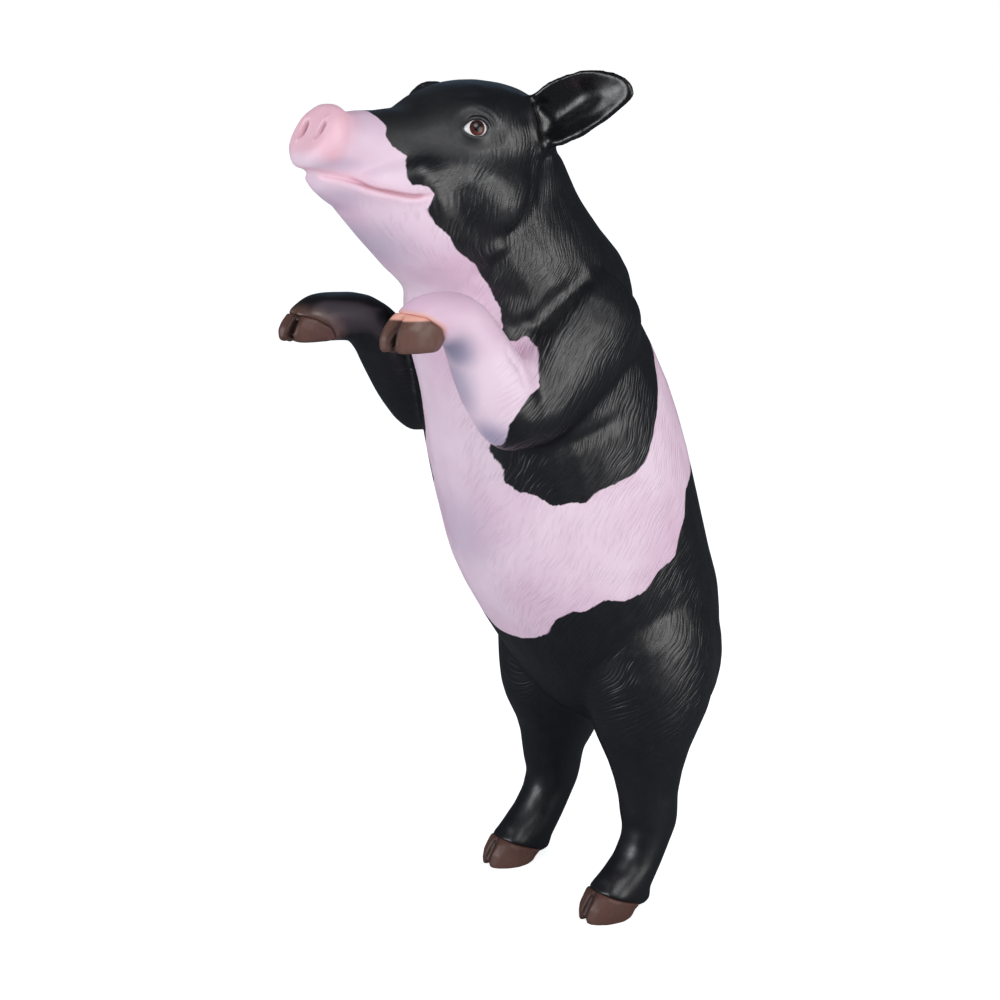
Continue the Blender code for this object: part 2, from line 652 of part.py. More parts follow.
def part_out(body, into):
    """Cuts the body into its named pieces; what is left is the trunk."""
    pitch = math.radians(NOSE_PITCH)
    look = Vector((0, -math.cos(pitch), math.sin(pitch)))
    region = block("snout_region", NOSE_CENTRE - look * SNOUT_DEPTH, look, *SNOUT_BLOCK)
    take(body, region, "snout", "snout_paint", into)
    for name, side in SIDES.items():
        root = Vector((side * EAR_ROOT.x, EAR_ROOT.y, EAR_ROOT.z))
        tip = EAR_TIP[name]
        along = (Vector((side * tip.x, tip.y, tip.z)) - root).normalized()
        region = block("ear_region", root + along * EAR_CUT, along, *EAR_BLOCK)
        take(body, region, f"ear_{name}", "black_paint", into)
        span = sorted((side * FORE_LEG_INNER, side * LEG_REACH))
        region = prism("fore_hoof_region", FORE_HOOF_OUTLINE[name], *span)
        take(body, region, f"hoof_fore_{name}", "hoof_paint", into)
        shift = FORE_LEG_SHIFT[name]
        outline = [(y + shift[0], z + shift[1]) for y, z in FORE_LEG_OUTLINE]
        region = prism("fore_leg_region", outline, *span)
        inside = core()
        boolean(region, "DIFFERENCE", inside)
        bpy.data.objects.remove(inside, do_unlink=True)
        take(body, region, f"leg_fore_{name}", "pink_paint" if side > 0 else "black_paint", into)
        span = sorted((side * HOOF_INNER, side * LEG_REACH))
        region = prism("hind_hoof_region", HIND_HOOF_OUTLINE, *span)
        take(body, region, f"hoof_hind_{name}", "hoof_paint", into)
        region = prism("hind_leg_region", [(side * x, z) for x, z in HIND_LEG_OUTLINE], -CLEAR, CLEAR, "Y")
        take(body, region, f"leg_hind_{name}", "black_paint", into)
    take(body, prism("head_region", HEAD_OUTLINE, -CLEAR, CLEAR), "head", "black_paint", into)
    take(body, prism("neck_region", NECK_OUTLINE, -CLEAR, CLEAR), "neck", "black_paint", into)
    body.name = "trunk"
    settle(body, "pink_paint", into)


def cut_floor(body):
    """Flat soles, at z = 0."""
    below = prism("below", [(-CLEAR, 0), (-CLEAR, -CLEAR), (CLEAR, -CLEAR), (CLEAR, 0)], -CLEAR, CLEAR)
    boolean(body, "DIFFERENCE", below)
    bpy.data.objects.remove(below, do_unlink=True)


def eyes(body, into):
    """A ball in each socket, a thin gap clear of the head."""
    for name, side in SIDES.items():
        x, y, z = EYE_PLACE
        socket = ball("socket", (side * x, y, z), (EYE_RADIUS + SOCKET_ROOM,) * 3, segments=16)
        boolean(body, "DIFFERENCE", socket)
        bpy.data.objects.remove(socket, do_unlink=True)
        settle(ball(f"eye_{name}", (side * x, y, z), (EYE_RADIUS,) * 3, segments=16), "eye_gloss", into)


# The tail: it leaves the rump, makes one loop in the fold between the hams, and ends in a point.
TAIL_ROOT = Vector((0.0, 0.186, 0.352))
TAIL_DROP = 0.072
TAIL_RADII = (0.0095, 0.0040)
TAIL_TURNS = 1.2
TAIL_POINTS = 19
TAIL_STRAIGHT = 0.20  # share of its length before it curls
TAIL_WIDENS = 0.35  # share of the curl in which the loop grows to its full radius
TAIL_LOOP = 0.019
TAIL_FLAT = 0.6  # the loop's height as a share of its width
TAIL_GAP = 0.0006
TAIL_OUT = 0.030
TAIL_PITCH = 0.020


def tail(body, into):
    curve = bpy.data.curves.new("tail_curve", "CURVE")
    curve.dimensions = "3D"
    curve.bevel_depth = 1
    curve.bevel_resolution = 1
    curve.use_fill_caps = True
    shares = np.linspace(0, 1, TAIL_POINTS)
    line = curve.splines.new("POLY")
    line.points.add(len(shares) - 1)
    for point, share in zip(line.points, shares):
        curl = max(0.0, share - TAIL_STRAIGHT) / (1 - TAIL_STRAIGHT)
        turn = 2 * math.pi * TAIL_TURNS * curl
        wide = TAIL_LOOP * min(1.0, curl / TAIL_WIDENS)
        x = wide * math.sin(turn)
        y = TAIL_ROOT.y + TAIL_OUT * min(1.0, share / TAIL_STRAIGHT) + TAIL_PITCH * curl
        z = TAIL_ROOT.z - TAIL_DROP * share + wide * (1 - math.cos(turn)) * TAIL_FLAT
        point.co = (x, y, z, 1)
        point.radius = TAIL_RADII[0] + (TAIL_RADII[1] - TAIL_RADII[0]) * share
    guide = bpy.data.objects.new("tail_guide", curve)
    bpy.context.scene.collection.objects.link(guide)
    mesh = bmesh.new()
    mesh.from_mesh(evaluated(guide))
    bpy.data.objects.remove(guide, do_unlink=True)
    bmesh.ops.remove_doubles(mesh, verts=mesh.verts, dist=1e-5)
    bmesh.ops.recalc_face_normals(mesh, faces=mesh.faces)
    made = to_object(mesh, "tail")
    boolean(made, "DIFFERENCE", body)
    keep_largest(made)
    made.data.transform(Matrix.Translation((0, TAIL_GAP, 0)))
    settle(made, "black_paint", into)


def centre(pieces):
    """Moves the whole pig along Y so that its box is centred on the origin."""
    lows = [min(v.co.y for v in piece.data.vertices) for piece in pieces]
    highs = [max(v.co.y for v in piece.data.vertices) for piece in pieces]
    shift = Matrix.Translation((0, -(min(lows) + max(highs)) / 2, 0))
    for piece in pieces:
        piece.data.transform(shift)


def main():
    clear_scene()
    model = collection("standing_pig")
    body = cast()
    carve(body)
    thin_out(body)
    cut_floor(body)
    nostrils(body)
    eyes(body, model)
    tail(body, model)
    part_out(body, model)
    centre(model.objects)


main()
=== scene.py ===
import math

import bmesh
import bpy
import numpy as np
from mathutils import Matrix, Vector
from mathutils.bvhtree import BVHTree


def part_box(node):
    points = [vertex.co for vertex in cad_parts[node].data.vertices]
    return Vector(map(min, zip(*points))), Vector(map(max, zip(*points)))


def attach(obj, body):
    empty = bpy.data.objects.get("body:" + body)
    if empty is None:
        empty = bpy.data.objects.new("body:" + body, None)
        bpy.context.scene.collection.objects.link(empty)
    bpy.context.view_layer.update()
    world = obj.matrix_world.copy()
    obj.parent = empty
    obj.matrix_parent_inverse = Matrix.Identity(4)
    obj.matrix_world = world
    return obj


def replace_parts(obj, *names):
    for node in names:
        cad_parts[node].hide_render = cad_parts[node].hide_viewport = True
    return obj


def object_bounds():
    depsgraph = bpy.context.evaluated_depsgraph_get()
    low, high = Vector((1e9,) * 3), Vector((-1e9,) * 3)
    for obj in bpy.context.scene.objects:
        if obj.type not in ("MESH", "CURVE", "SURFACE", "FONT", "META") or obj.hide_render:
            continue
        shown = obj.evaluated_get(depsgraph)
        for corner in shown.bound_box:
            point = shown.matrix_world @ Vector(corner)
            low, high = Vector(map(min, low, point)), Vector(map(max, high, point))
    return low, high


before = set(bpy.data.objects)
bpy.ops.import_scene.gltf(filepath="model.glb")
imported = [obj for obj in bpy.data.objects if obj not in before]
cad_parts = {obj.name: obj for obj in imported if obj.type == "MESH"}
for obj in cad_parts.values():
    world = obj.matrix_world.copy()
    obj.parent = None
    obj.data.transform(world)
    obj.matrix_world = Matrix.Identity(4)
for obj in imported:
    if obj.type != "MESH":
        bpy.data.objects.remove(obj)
cadLow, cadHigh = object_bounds()

# Lines over the body are written as x, y, z from the floor between the hind feet:
# x to the pig's left, y towards its back, z up. A line with x above 0 serves both sides.
soleLow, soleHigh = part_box("hoof_hind_left")
toeLead = 0.0031  # how far the sole's middle lies ahead of the ankle, where y is 0
feetY = (soleLow.y + soleHigh.y) / 2 + toeLead


def fromFeet(points):
    return np.array(points, float) + (0, feetY, 0)


def smoothStep(low, high, value):
    share = np.clip((value - low) / (high - low), 0, 1)
    return share * share * (3 - 2 * share)


def bump(distance, width):
    return np.exp(-((distance / width) ** 2))


# A smooth line through a few points, by Catmull and Rom's rule.
def curveThrough(points, steps):
    points = np.array(points, float)
    padded = np.vstack([2 * points[0] - points[1], points, 2 * points[-1] - points[-2]])
    line = []
    for i in range(len(points) - 1):
        a, b, c, d = padded[i : i + 4]
        for t in np.arange(steps) / steps:
            line.append(0.5 * (2 * b + (c - a) * t + (2 * a - 5 * b + 4 * c - d) * t * t
                               + (3 * b - a - 3 * c + d) * t ** 3))
    return np.array([*line, points[-1]])


# Distance to the line, how far along it (0 to 1) and the nearest point on it.
def nearestOnLine(points, line):
    best = np.full(len(points), np.inf)
    along = np.zeros(len(points))
    foot = np.zeros_like(points)
    for i, (a, b) in enumerate(zip(line, line[1:])):
        run = b - a
        share = np.clip((points - a) @ run / (run @ run), 0, 1)
        place = a + share[:, None] * run
        gap = np.linalg.norm(points - place, axis=1)
        closer = gap < best
        best[closer] = gap[closer]
        along[closer] = (i + share[closer]) / (len(line) - 1)
        foot[closer] = place[closer]
    return best, along, foot


# Both sides laid on the left one.
def folded(points):
    return np.column_stack([np.abs(points[:, 0]), points[:, 1], points[:, 2]])


# A mesh as arrays, to be pushed about.
class Clay:
    def __init__(self, mesh):
        self.mesh = mesh
        self.points = readArray(mesh.vertices, "co", 3)
        self.edges = readArray(mesh.edges, "vertices", 2, np.int64)
        mesh.calc_loop_triangles()
        self.triangles = readArray(mesh.loop_triangles, "vertices", 3, np.int64)
        self.valence = np.bincount(self.edges.ravel(), minlength=len(self.points))

    def normals(self):
        a, b, c = (self.points[self.triangles[:, i]] for i in range(3))
        face = np.cross(b - a, c - a)
        total = np.zeros_like(self.points)
        for corner in range(3):
            for axis in range(3):
                total[:, axis] += np.bincount(self.triangles[:, corner], face[:, axis], len(self.points))
        return total / np.maximum(np.linalg.norm(total, axis=1), 1e-12)[:, None]

    # Each point's values move towards its neighbours', by its own share. Points with none aren't visited.
    def ease(self, values, rounds, share):
        moves = share > 0.0025
        moving = np.nonzero(moves)[0]
        row = np.cumsum(moves) - 1
        one, two = self.edges.T
        rows = np.concatenate([row[one[moves[one]]], row[two[moves[two]]]])
        sources = np.concatenate([two[moves[one]], one[moves[two]]])
        valence = np.maximum(self.valence[moving], 1)
        for _ in range(rounds):
            for axis in range(values.shape[1]):
                mean = np.bincount(rows, values[sources, axis], len(moving)) / valence
                values[moving, axis] += (mean - values[moving, axis]) * share[moving]

    def relax(self, rounds, strength):
        self.ease(self.points, rounds, 0.5 * strength)

    # Irons out facets, then gives back the thickness that ironing takes.
    def soften(self, rounds, strength):
        self.relax(rounds, strength)
        ironed = self.points.copy()
        self.relax(rounds, strength)
        self.points = 2 * ironed - self.points

    def push(self, amount):
        self.points += self.normals() * amount[:, None]

    def keep(self):
        self.mesh.vertices.foreach_set("co", self.points.astype(np.float32).ravel())
        self.mesh.update()


def readArray(items, name, size, kind=np.float32):
    values = np.empty(len(items) * size, kind)
    items.foreach_get(name, values)
    if kind is np.float32:
        values = values.astype(float)
    return values.reshape(-1, size)


# The evaluated mesh of an object with modifiers. The object is removed.
def meshFromObject(maker):
    graph = bpy.context.evaluated_depsgraph_get()
    mesh = bpy.data.meshes.new_from_object(maker.evaluated_get(graph))
    bpy.data.objects.remove(maker)
    return mesh


def meshFromShape(name, shape):
    mesh = bpy.data.meshes.new(name)
    shape.to_mesh(mesh)
    shape.free()
    return mesh


def newObject(name, mesh):
    piece = bpy.data.objects.new(name, mesh)
    bpy.context.scene.collection.objects.link(piece)
    return piece


def finishedPiece(name, mesh, material):
    mesh.name = name
    mesh.shade_smooth()
    mesh.materials.clear()
    mesh.materials.append(material)
    return newObject(name, mesh)


# The named solids in one mesh, each swollen a little so that their cuts close.
def mergedCopy(nodes, grow):
    together = bmesh.new()
    for name in nodes:
        part = bmesh.new()
        part.from_mesh(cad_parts[name].data)
        bmesh.ops.remove_doubles(part, verts=part.verts, dist=1e-6)
        part.normal_update()
        for vertex in part.verts:
            vertex.co += vertex.normal * grow
        single = meshFromShape("part", part)
        together.from_mesh(single)
        bpy.data.meshes.remove(single)
    return meshFromShape("together", together)


def voxelMesh(mesh, size):
    maker = newObject("maker", mesh)
    remesh = maker.modifiers.new("voxels", "REMESH")
    remesh.mode = "VOXEL"
    remesh.voxel_size = size
    return meshFromObject(maker)


# Splits the edges that chooser picks from their middles, so that detail has points to sit on.
def refined(mesh, chooser):
    points = readArray(mesh.vertices, "co", 3)
    middles = points[readArray(mesh.edges, "vertices", 2, np.int64)].mean(axis=1)
    chosen = np.nonzero(chooser(middles))[0]
    shape = bmesh.new()
    shape.from_mesh(mesh)
    shape.edges.ensure_lookup_table()
    bmesh.ops.subdivide_edges(shape, edges=[shape.edges[i] for i in chosen], cuts=1, use_grid_fill=True)
    bmesh.ops.triangulate(shape, faces=[f for f in shape.faces if len(f.verts) > 4])
    shape.to_mesh(mesh)
    shape.free()
    return mesh


skin = {
    "nodes": ("head", "neck", "trunk", "leg_fore_left", "leg_fore_right", "leg_hind_left",
              "leg_hind_right", "ear_left", "ear_right", "snout", "tail"),
    "voxel": 0.0020,
    "quickVoxel": 0.0032,
    "grow": 0.0005,
    "ironing": 30,           # rounds that take the facets out
    "thinStrength": 0.55,    # share of it on ears and tail
    "thinReach": 0.020,      # how far from them the share is back to all of it
    "earRounds": 7,
    "floorGap": 0.0003,
    "triangles": 192000,
    "headFrom": (0, 0.02, 0.80),           # ahead of and above this the skin stays finer
    "thinning": (0.70, 0.45, 0.20, 0.05),  # body, head, round its features, on them
    "lengthCost": 1e-5,
}
snout = {
    "centre": (0, -0.332, 0.936), "pitch": 31, "disc": (0.040, 0.036), "rimSoftness": 22,
    "dish": 0.0018, "grooveBack": 0.020, "grooveWide": 0.0085, "groove": 0.0020,
    "nostrilOut": 0.0178, "nostrilUp": 0.003, "nostrilHalf": (0.0053, 0.0088), "nostrilDeep": 0.0135,
    "leanLeft": 17, "leanRight": 6, "nostrilRim": 0.0013, "shift": 0.003,
    "nostrilWall": (0.40, 1.12), "rimRing": (1.45, 0.38),  # in shares of the nostril's reach
}
mouth = {
    "line": [(0.000, -0.3445, 0.8965), (0.012, -0.341, 0.8965), (0.024, -0.325, 0.893),
             (0.034, -0.306, 0.888), (0.045, -0.289, 0.880), (0.055, -0.270, 0.8750),
             (0.064, -0.250, 0.8710), (0.071, -0.233, 0.8725)],
    "deep": 0.0044, "wide": 0.0023,
    "lower": (0.0030, -0.0062, 0.0042, 0.012),  # lip: how full, how far above the line, height, reach
    "upper": (0.0018, 0.0070, 0.0060, 0.014),
}
eye = {
    "middle": (0.0738, -0.1742, 0.9400), "out": (0.92, -0.33, 0.19), "apex": 0.0014, "radius": 0.0185,
    "front": 0.0136, "back": 0.0118, "above": 0.0090, "below": 0.0086, "point": 0.22,
    "upperLid": 0.0018, "lowerLid": 0.0012, "lidFade": (0.0014, 0.0210), "under": 0.0030,
    "lidInside": (-0.0007, 0.0004), "lidRoll": (0.0024, 0.0020), "reach": 0.045,
    "iris": 0.0088, "pupil": 0.0043, "gazeUp": 0.0003, "gazeBack": 0.0006, "rings": 72,
    "halfAngle": 95, "spokes": 3.2, "ringPace": 60, "swell": 0.0006, "swellWide": 0.0075,
    "gloss": 0.45, "glossRoughness": 0.05,
    "irisDark": (62, 30, 25), "irisLight": (122, 62, 48), "irisEdge": (98, 48, 38), "irisRim": (42, 20, 18),
    "browShade": (30, 16, 16), "pupilBlack": (8, 6, 7), "white": (240, 236, 236), "vein": (226, 196, 196),
}
creases = [  # over the upper lid: distance from the lids' edge, width, depth, only behind
    (0.0062, 0.0018, 0.0008, False), (0.0125, 0.0028, 0.0006, True),
]
valleys = [  # seams between the solids that are ironed out: line, width, rounds, height filled in
    ([(0.040, -0.270, 0.916), (0.0564, -0.223, 0.916), (0.0662, -0.197, 0.916), (0.0749, -0.171, 0.914),
      (0.0835, -0.1445, 0.912), (0.0826, -0.110, 0.908)], 0.012, 70, 0.0016),
    ([(0.0700, -0.190, 0.940), (0.0738, -0.174, 0.940), (0.0775, -0.158, 0.940)], 0.026, 110, 0.0),
    ([(0.068, -0.238, 0.888), (0.075, -0.218, 0.878), (0.084, -0.196, 0.866)], 0.015, 70, 0.0),
    ([(0.066, -0.088, 0.972), (0.080, -0.080, 0.950), (0.084, -0.086, 0.924)], 0.009, 60, 0.0),
    ([(0.034, -0.262, 0.944), (0.046, -0.215, 0.951), (0.058, -0.180, 0.962), (0.068, -0.140, 0.964)],
     0.012, 50, 0.0),
]
folds = [  # line, width, depth (below 0 a ridge): behind the jowl, before the shoulder, along the fore leg,
    # between fore leg and shoulder, behind the ear's front edge, and that edge
    ([(0.086, -0.100, 0.912), (0.095, -0.110, 0.885), (0.0986, -0.122, 0.8535), (0.098, -0.141, 0.830),
      (0.092, -0.172, 0.824)], 0.0095, 0.0062),
    ([(0.100, -0.137, 0.727), (0.108, -0.115, 0.735), (0.1105, -0.090, 0.755), (0.112, -0.063, 0.770)],
     0.0100, 0.0030),
    ([(0.084, -0.150, 0.596), (0.097, -0.133, 0.584), (0.120, -0.096, 0.592), (0.133, -0.050, 0.608),
      (0.129, 0.012, 0.634)], 0.0095, 0.0030),
    ([(0.136, -0.186, 0.716), (0.139, -0.175, 0.700), (0.141, -0.165, 0.687), (0.1465, -0.164, 0.664)],
     0.0042, 0.0030),
    ([(0.062, -0.084, 0.972), (0.0737, -0.089, 0.9475), (0.081, -0.088, 0.926)], 0.0075, 0.0060),
    ([(0.0607, -0.0983, 0.9707), (0.0747, -0.1033, 0.953), (0.0822, -0.1048, 0.932), (0.0818, -0.099, 0.914)],
     0.0045, -0.0034),
]
bulges = [  # centre, radius, height: jowl, cheek, corner of the mouth, temple, root of the ear
    ((0.0980, -0.1580, 0.8640), 0.036, 0.0044), ((0.0670, -0.2380, 0.8930), 0.017, 0.0052),
    ((0.0740, -0.2220, 0.8640), 0.013, 0.0024), ((0.0830, -0.1330, 0.9330), 0.024, 0.0034),
    ((0.0822, -0.0960, 0.9140), 0.006, 0.0032),
]
ear = {
    "facing": (0.52, -0.85, 0.07),
    "ridge": [(0.132, -0.050, 0.968), (0.1246, -0.0523, 0.9637), (0.1029, -0.0609, 0.9529),
              (0.0900, -0.0680, 0.9430)],
    "ridgeWide": 0.0050, "ridgeHigh": 0.0026,
    "rim": [(0.074, -0.088, 0.9695), (0.092, -0.077, 0.9825), (0.111, -0.065, 0.9905),
            (0.130, -0.0535, 0.9915), (0.150, -0.044, 0.985), (0.153, -0.044, 0.972),
            (0.137, -0.053, 0.957), (0.120, -0.064, 0.943)],
    "rimWide": 0.0046, "rimDeep": 0.0012,
    "easing": 8, "hollow": (0.104, -0.062, 0.974), "hollowWide": 0.018, "hollowDeep": 0.0050,
}


# The snout disc's own axes: across, up and out.
def lookFrame():
    pitch = math.radians(snout["pitch"])
    out = np.array((0, -math.cos(pitch), math.sin(pitch)))
    up = np.array((0, math.sin(pitch), math.cos(pitch)))
    return np.array((1.0, 0, 0)), up, out


def eyeAxes():
    out = np.array(eye["out"])
    out = out / np.linalg.norm(out)
    up = np.array((0, 0, 1.0)) - out * out[2]
    up /= np.linalg.norm(up)
    back = np.cross(up, out)
    if back[1] < 0:
        back = -back
    return out, up, back


# The lids' edge, in the eye's own plane: pointed in front, round behind.
def eyeOpening(count=72):
    turn = np.linspace(0, 2 * math.pi, count, endpoint=False)
    across = np.cos(turn)
    rise = np.sin(turn)
    pointed = np.where(across < 0, 1 - eye["point"] * np.abs(across) ** 1.5, 1.0)
    across = np.where(across < 0, across * eye["front"], across * eye["back"])
    rise = np.where(rise > 0, rise * eye["above"], rise * eye["below"]) * pointed
    return np.column_stack([across, rise])


# How fine the skin has to be: 0, 1 or 2 further splits. Each feature's reach for 1, for 2, or for both.
finer = {"eye": (0.034, 0.023), "disc": 0.050, "nostril": 0.017, "mouth": (0.010, 0.005)}
mouthBox = fromFeet((0.035, -0.29, 0.885)), (0.05, 0.07, 0.03)  # its middle, and half its size


def shapeNear(points):
    spots = folded(points)
    fine = np.zeros(len(points), int)
    gap = np.linalg.norm(spots - fromFeet(eye["middle"]), axis=1)
    fine[gap < finer["eye"][0]] = 1
    fine[gap < finer["eye"][1]] = 2
    centre = fromFeet(snout["centre"])
    fine[np.linalg.norm(spots - centre, axis=1) < finer["disc"]] = 1
    nostril = centre + (snout["nostrilOut"], 0, 0)
    fine[np.linalg.norm(spots - nostril, axis=1) < finer["nostril"]] = 2
    close = np.nonzero((np.abs(spots - mouthBox[0]) < mouthBox[1]).all(axis=1))[0]
    gap, _, _ = nearestOnLine(spots[close], fromFeet(mouth["line"]))
    once = close[gap < finer["mouth"][0]]
    fine[once] = np.maximum(fine[once], 1)
    fine[close[gap < finer["mouth"][1]]] = 2
    return fine


def shapeMouth(clay):
    line = curveThrough(fromFeet(mouth["line"]), 5)
    gap, along, foot = nearestOnLine(folded(clay.points), line)
    rise = clay.points[:, 2] - foot[:, 2]
    fade = 1 - 0.8 * smoothStep(0.90, 1.0, along)
    near = gap < 0.03
    amount = np.where(near, -mouth["deep"] * bump(gap, mouth["wide"]), 0)
    for full, above, height, reach in (mouth["lower"], mouth["upper"]):
        amount += full * bump(rise - above, height) * bump(gap, reach) * near
    clay.push(amount * fade)


# For each nostril, how far each point lies from its middle line and from its middle,
# where 1 is its edge. The points are measured from the disc's centre.
def nostrilReach(local):
    across, up, _ = lookFrame()
    narrow, tall = snout["nostrilHalf"]
    for side, lean in ((1, snout["leanLeft"]), (-1, snout["leanRight"])):
        place = across * (side * snout["nostrilOut"] + snout["shift"]) + up * snout["nostrilUp"]
        a, b = (local - place) @ across, (local - place) @ up
        turn = math.radians(lean)
        short = a * math.cos(turn) - b * math.sin(turn)
        long = a * math.sin(turn) + b * math.cos(turn)
        yield short, np.hypot(short / narrow, long / tall)


def shapeNostrils(clay):
    _, _, out = lookFrame()
    local = clay.points - fromFeet(snout["centre"])
    amount = np.zeros(len(local))
    for short, reach in nostrilReach(local):
        hole = (1 - smoothStep(*snout["nostrilWall"], reach)) * snout["nostrilDeep"]
        ring, ringWide = snout["rimRing"]
        rim = snout["nostrilRim"] * bump(reach - ring, ringWide) * (1 - 0.5 * np.sign(short))
        amount += np.where((np.abs(local @ out) < 0.03) & (reach < 4), rim - hole, 0)
    clay.points += amount[:, None] * out


# The disc: its edge rounded off, a shallow dish in it, and the groove over the top behind its rim.
def shapeSnout(clay):
    across, up, out = lookFrame()

    def onDisc():
        local = clay.points - fromFeet(snout["centre"])
        rise = local @ up / snout["disc"][1]
        return np.hypot(local @ across / snout["disc"][0], rise), rise, local @ out

    ring, rise, depth = onDisc()
    rim = bump(ring - 1.0, 0.34) * bump(depth + 0.004, 0.014)
    clay.relax(snout["rimSoftness"], rim * (1 - 0.55 * smoothStep(0.1, 0.9, rise)))
    ring, rise, depth = onDisc()
    front = (depth > -0.006) & (ring < 1.2)
    clay.points -= np.where(front, snout["dish"] * bump(ring, 0.55), 0)[:, None] * out
    behind = bump(depth + snout["grooveBack"], snout["grooveWide"]) * (ring < 1.6) * (depth > -0.05)
    clay.push(-snout["groove"] * behind * smoothStep(-0.2, 0.8, rise))


def shapeEyes(clay):
    out, up, back = eyeAxes()
    middle = fromFeet(eye["middle"])
    sides = np.where(clay.points[:, 0] < 0, -1.0, 1.0)
    local = folded(clay.points) - middle
    near = np.nonzero(np.linalg.norm(local, axis=1) < eye["reach"])[0]
    local = local[near]
    t, b, z = local @ back, local @ up, local @ out
    border = eyeOpening()
    loop = np.column_stack([border, np.zeros(len(border))])
    loop = np.vstack([loop, loop[:1]])
    flat = np.column_stack([t, b, np.zeros(len(t))])
    gap, _, foot = nearestOnLine(flat, loop)
    pointed = np.where(t < 0, 1 - eye["point"] * np.clip(np.abs(t) / eye["front"], 0, 1) ** 1.5, 1.0)
    inside = np.hypot(t / np.where(t < 0, eye["front"], eye["back"]),
                      b / (np.where(b > 0, eye["above"], eye["below"]) * pointed)) < 1
    edge = np.where(inside, -gap, gap)
    ballDepth = eye["apex"] - eye["radius"]
    ballHere = ballDepth + np.sqrt(np.maximum(eye["radius"] ** 2 - t ** 2 - b ** 2, 1e-6))
    ballRim = ballDepth + np.sqrt(eye["radius"] ** 2 - (foot[:, :2] ** 2).sum(axis=1))
    upper = smoothStep(-0.004, 0.004, b)
    lid = eye["lowerLid"] + (eye["upperLid"] - eye["lowerLid"]) * upper
    roundest, roundWidth = eye["lidRoll"]
    rolled = ballRim + lid * (0.72 + 0.28 * bump(edge - roundest, roundWidth))
    blend = smoothStep(*eye["lidFade"], edge)
    soft = smoothStep(*eye["lidInside"], edge)
    target = np.where(edge > 0, rolled * (1 - blend) + z * blend,
                      (ballHere - eye["under"]) * (1 - soft) + rolled * soft)
    rear = smoothStep(-0.002, 0.008, t)
    for distance, width, depth, behind in creases:
        share = rear if behind else smoothStep(-0.011, -0.002, t)
        target -= depth * bump(edge - distance, width) * upper * share
    move = (target - z)[:, None] * out
    move[:, 0] *= sides[near]
    clay.points[near] += move


def fillValleys(clay):
    for line, width, rounds, height in valleys:
        gap, along, _ = nearestOnLine(folded(clay.points), curveThrough(fromFeet(line), 5))
        ends = 0.35 + 0.65 * smoothStep(0, 0.10, along) * (1 - smoothStep(0.90, 1.0, along))
        clay.relax(rounds, bump(gap, width) * ends)
        clay.push(height * bump(gap, width) * ends)


def shapeFolds(clay):
    for line, width, depth in folds:
        gap, along, _ = nearestOnLine(folded(clay.points), curveThrough(fromFeet(line), 5))
        ends = smoothStep(0, 0.22, along) * (1 - smoothStep(0.75, 1.0, along))
        clay.push(-depth * bump(gap, width) * ends)
    for centre, radius, height in bulges:
        gap = np.linalg.norm(folded(clay.points) - fromFeet(centre), axis=1)
        clay.push(height * bump(gap, radius))


# The hollow face of each ear: a dish, a ridge within it and a rolled rim. The back stays smooth.
def shapeEars(clay):
    normals = clay.normals()
    outward = normals[:, 0] * np.sign(clay.points[:, 0])
    towards = np.column_stack([outward, normals[:, 1], normals[:, 2]]) @ np.array(ear["facing"])
    face = smoothStep(0.1, 0.5, towards)
    spots = folded(clay.points)
    ridge, _, _ = nearestOnLine(spots, curveThrough(fromFeet(ear["ridge"]), 4))
    amount = ear["ridgeHigh"] * bump(ridge, ear["ridgeWide"])
    rim, _, _ = nearestOnLine(spots, curveThrough(fromFeet(ear["rim"]), 4))
    amount -= ear["rimDeep"] * bump(rim, ear["rimWide"])
    gap = np.linalg.norm(spots - fromFeet(ear["hollow"]), axis=1)
    amount -= ear["hollowDeep"] * bump(gap, ear["hollowWide"])
    eased = (amount * face)[:, None]
    clay.ease(eased, ear["easing"], np.ones(len(eased)))
    clay.push(eased[:, 0])


# Distance from a node's box, 0 inside it.
def boxGap(points, name):
    low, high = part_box(name)
    outside = np.maximum(np.maximum(np.array(low) - points, points - np.array(high)), 0)
    return np.linalg.norm(outside, axis=1)


def nearEars(points):
    gap = np.minimum(boxGap(points, "ear_left"), boxGap(points, "ear_right"))
    return smoothStep(0.010, 0.002, gap)


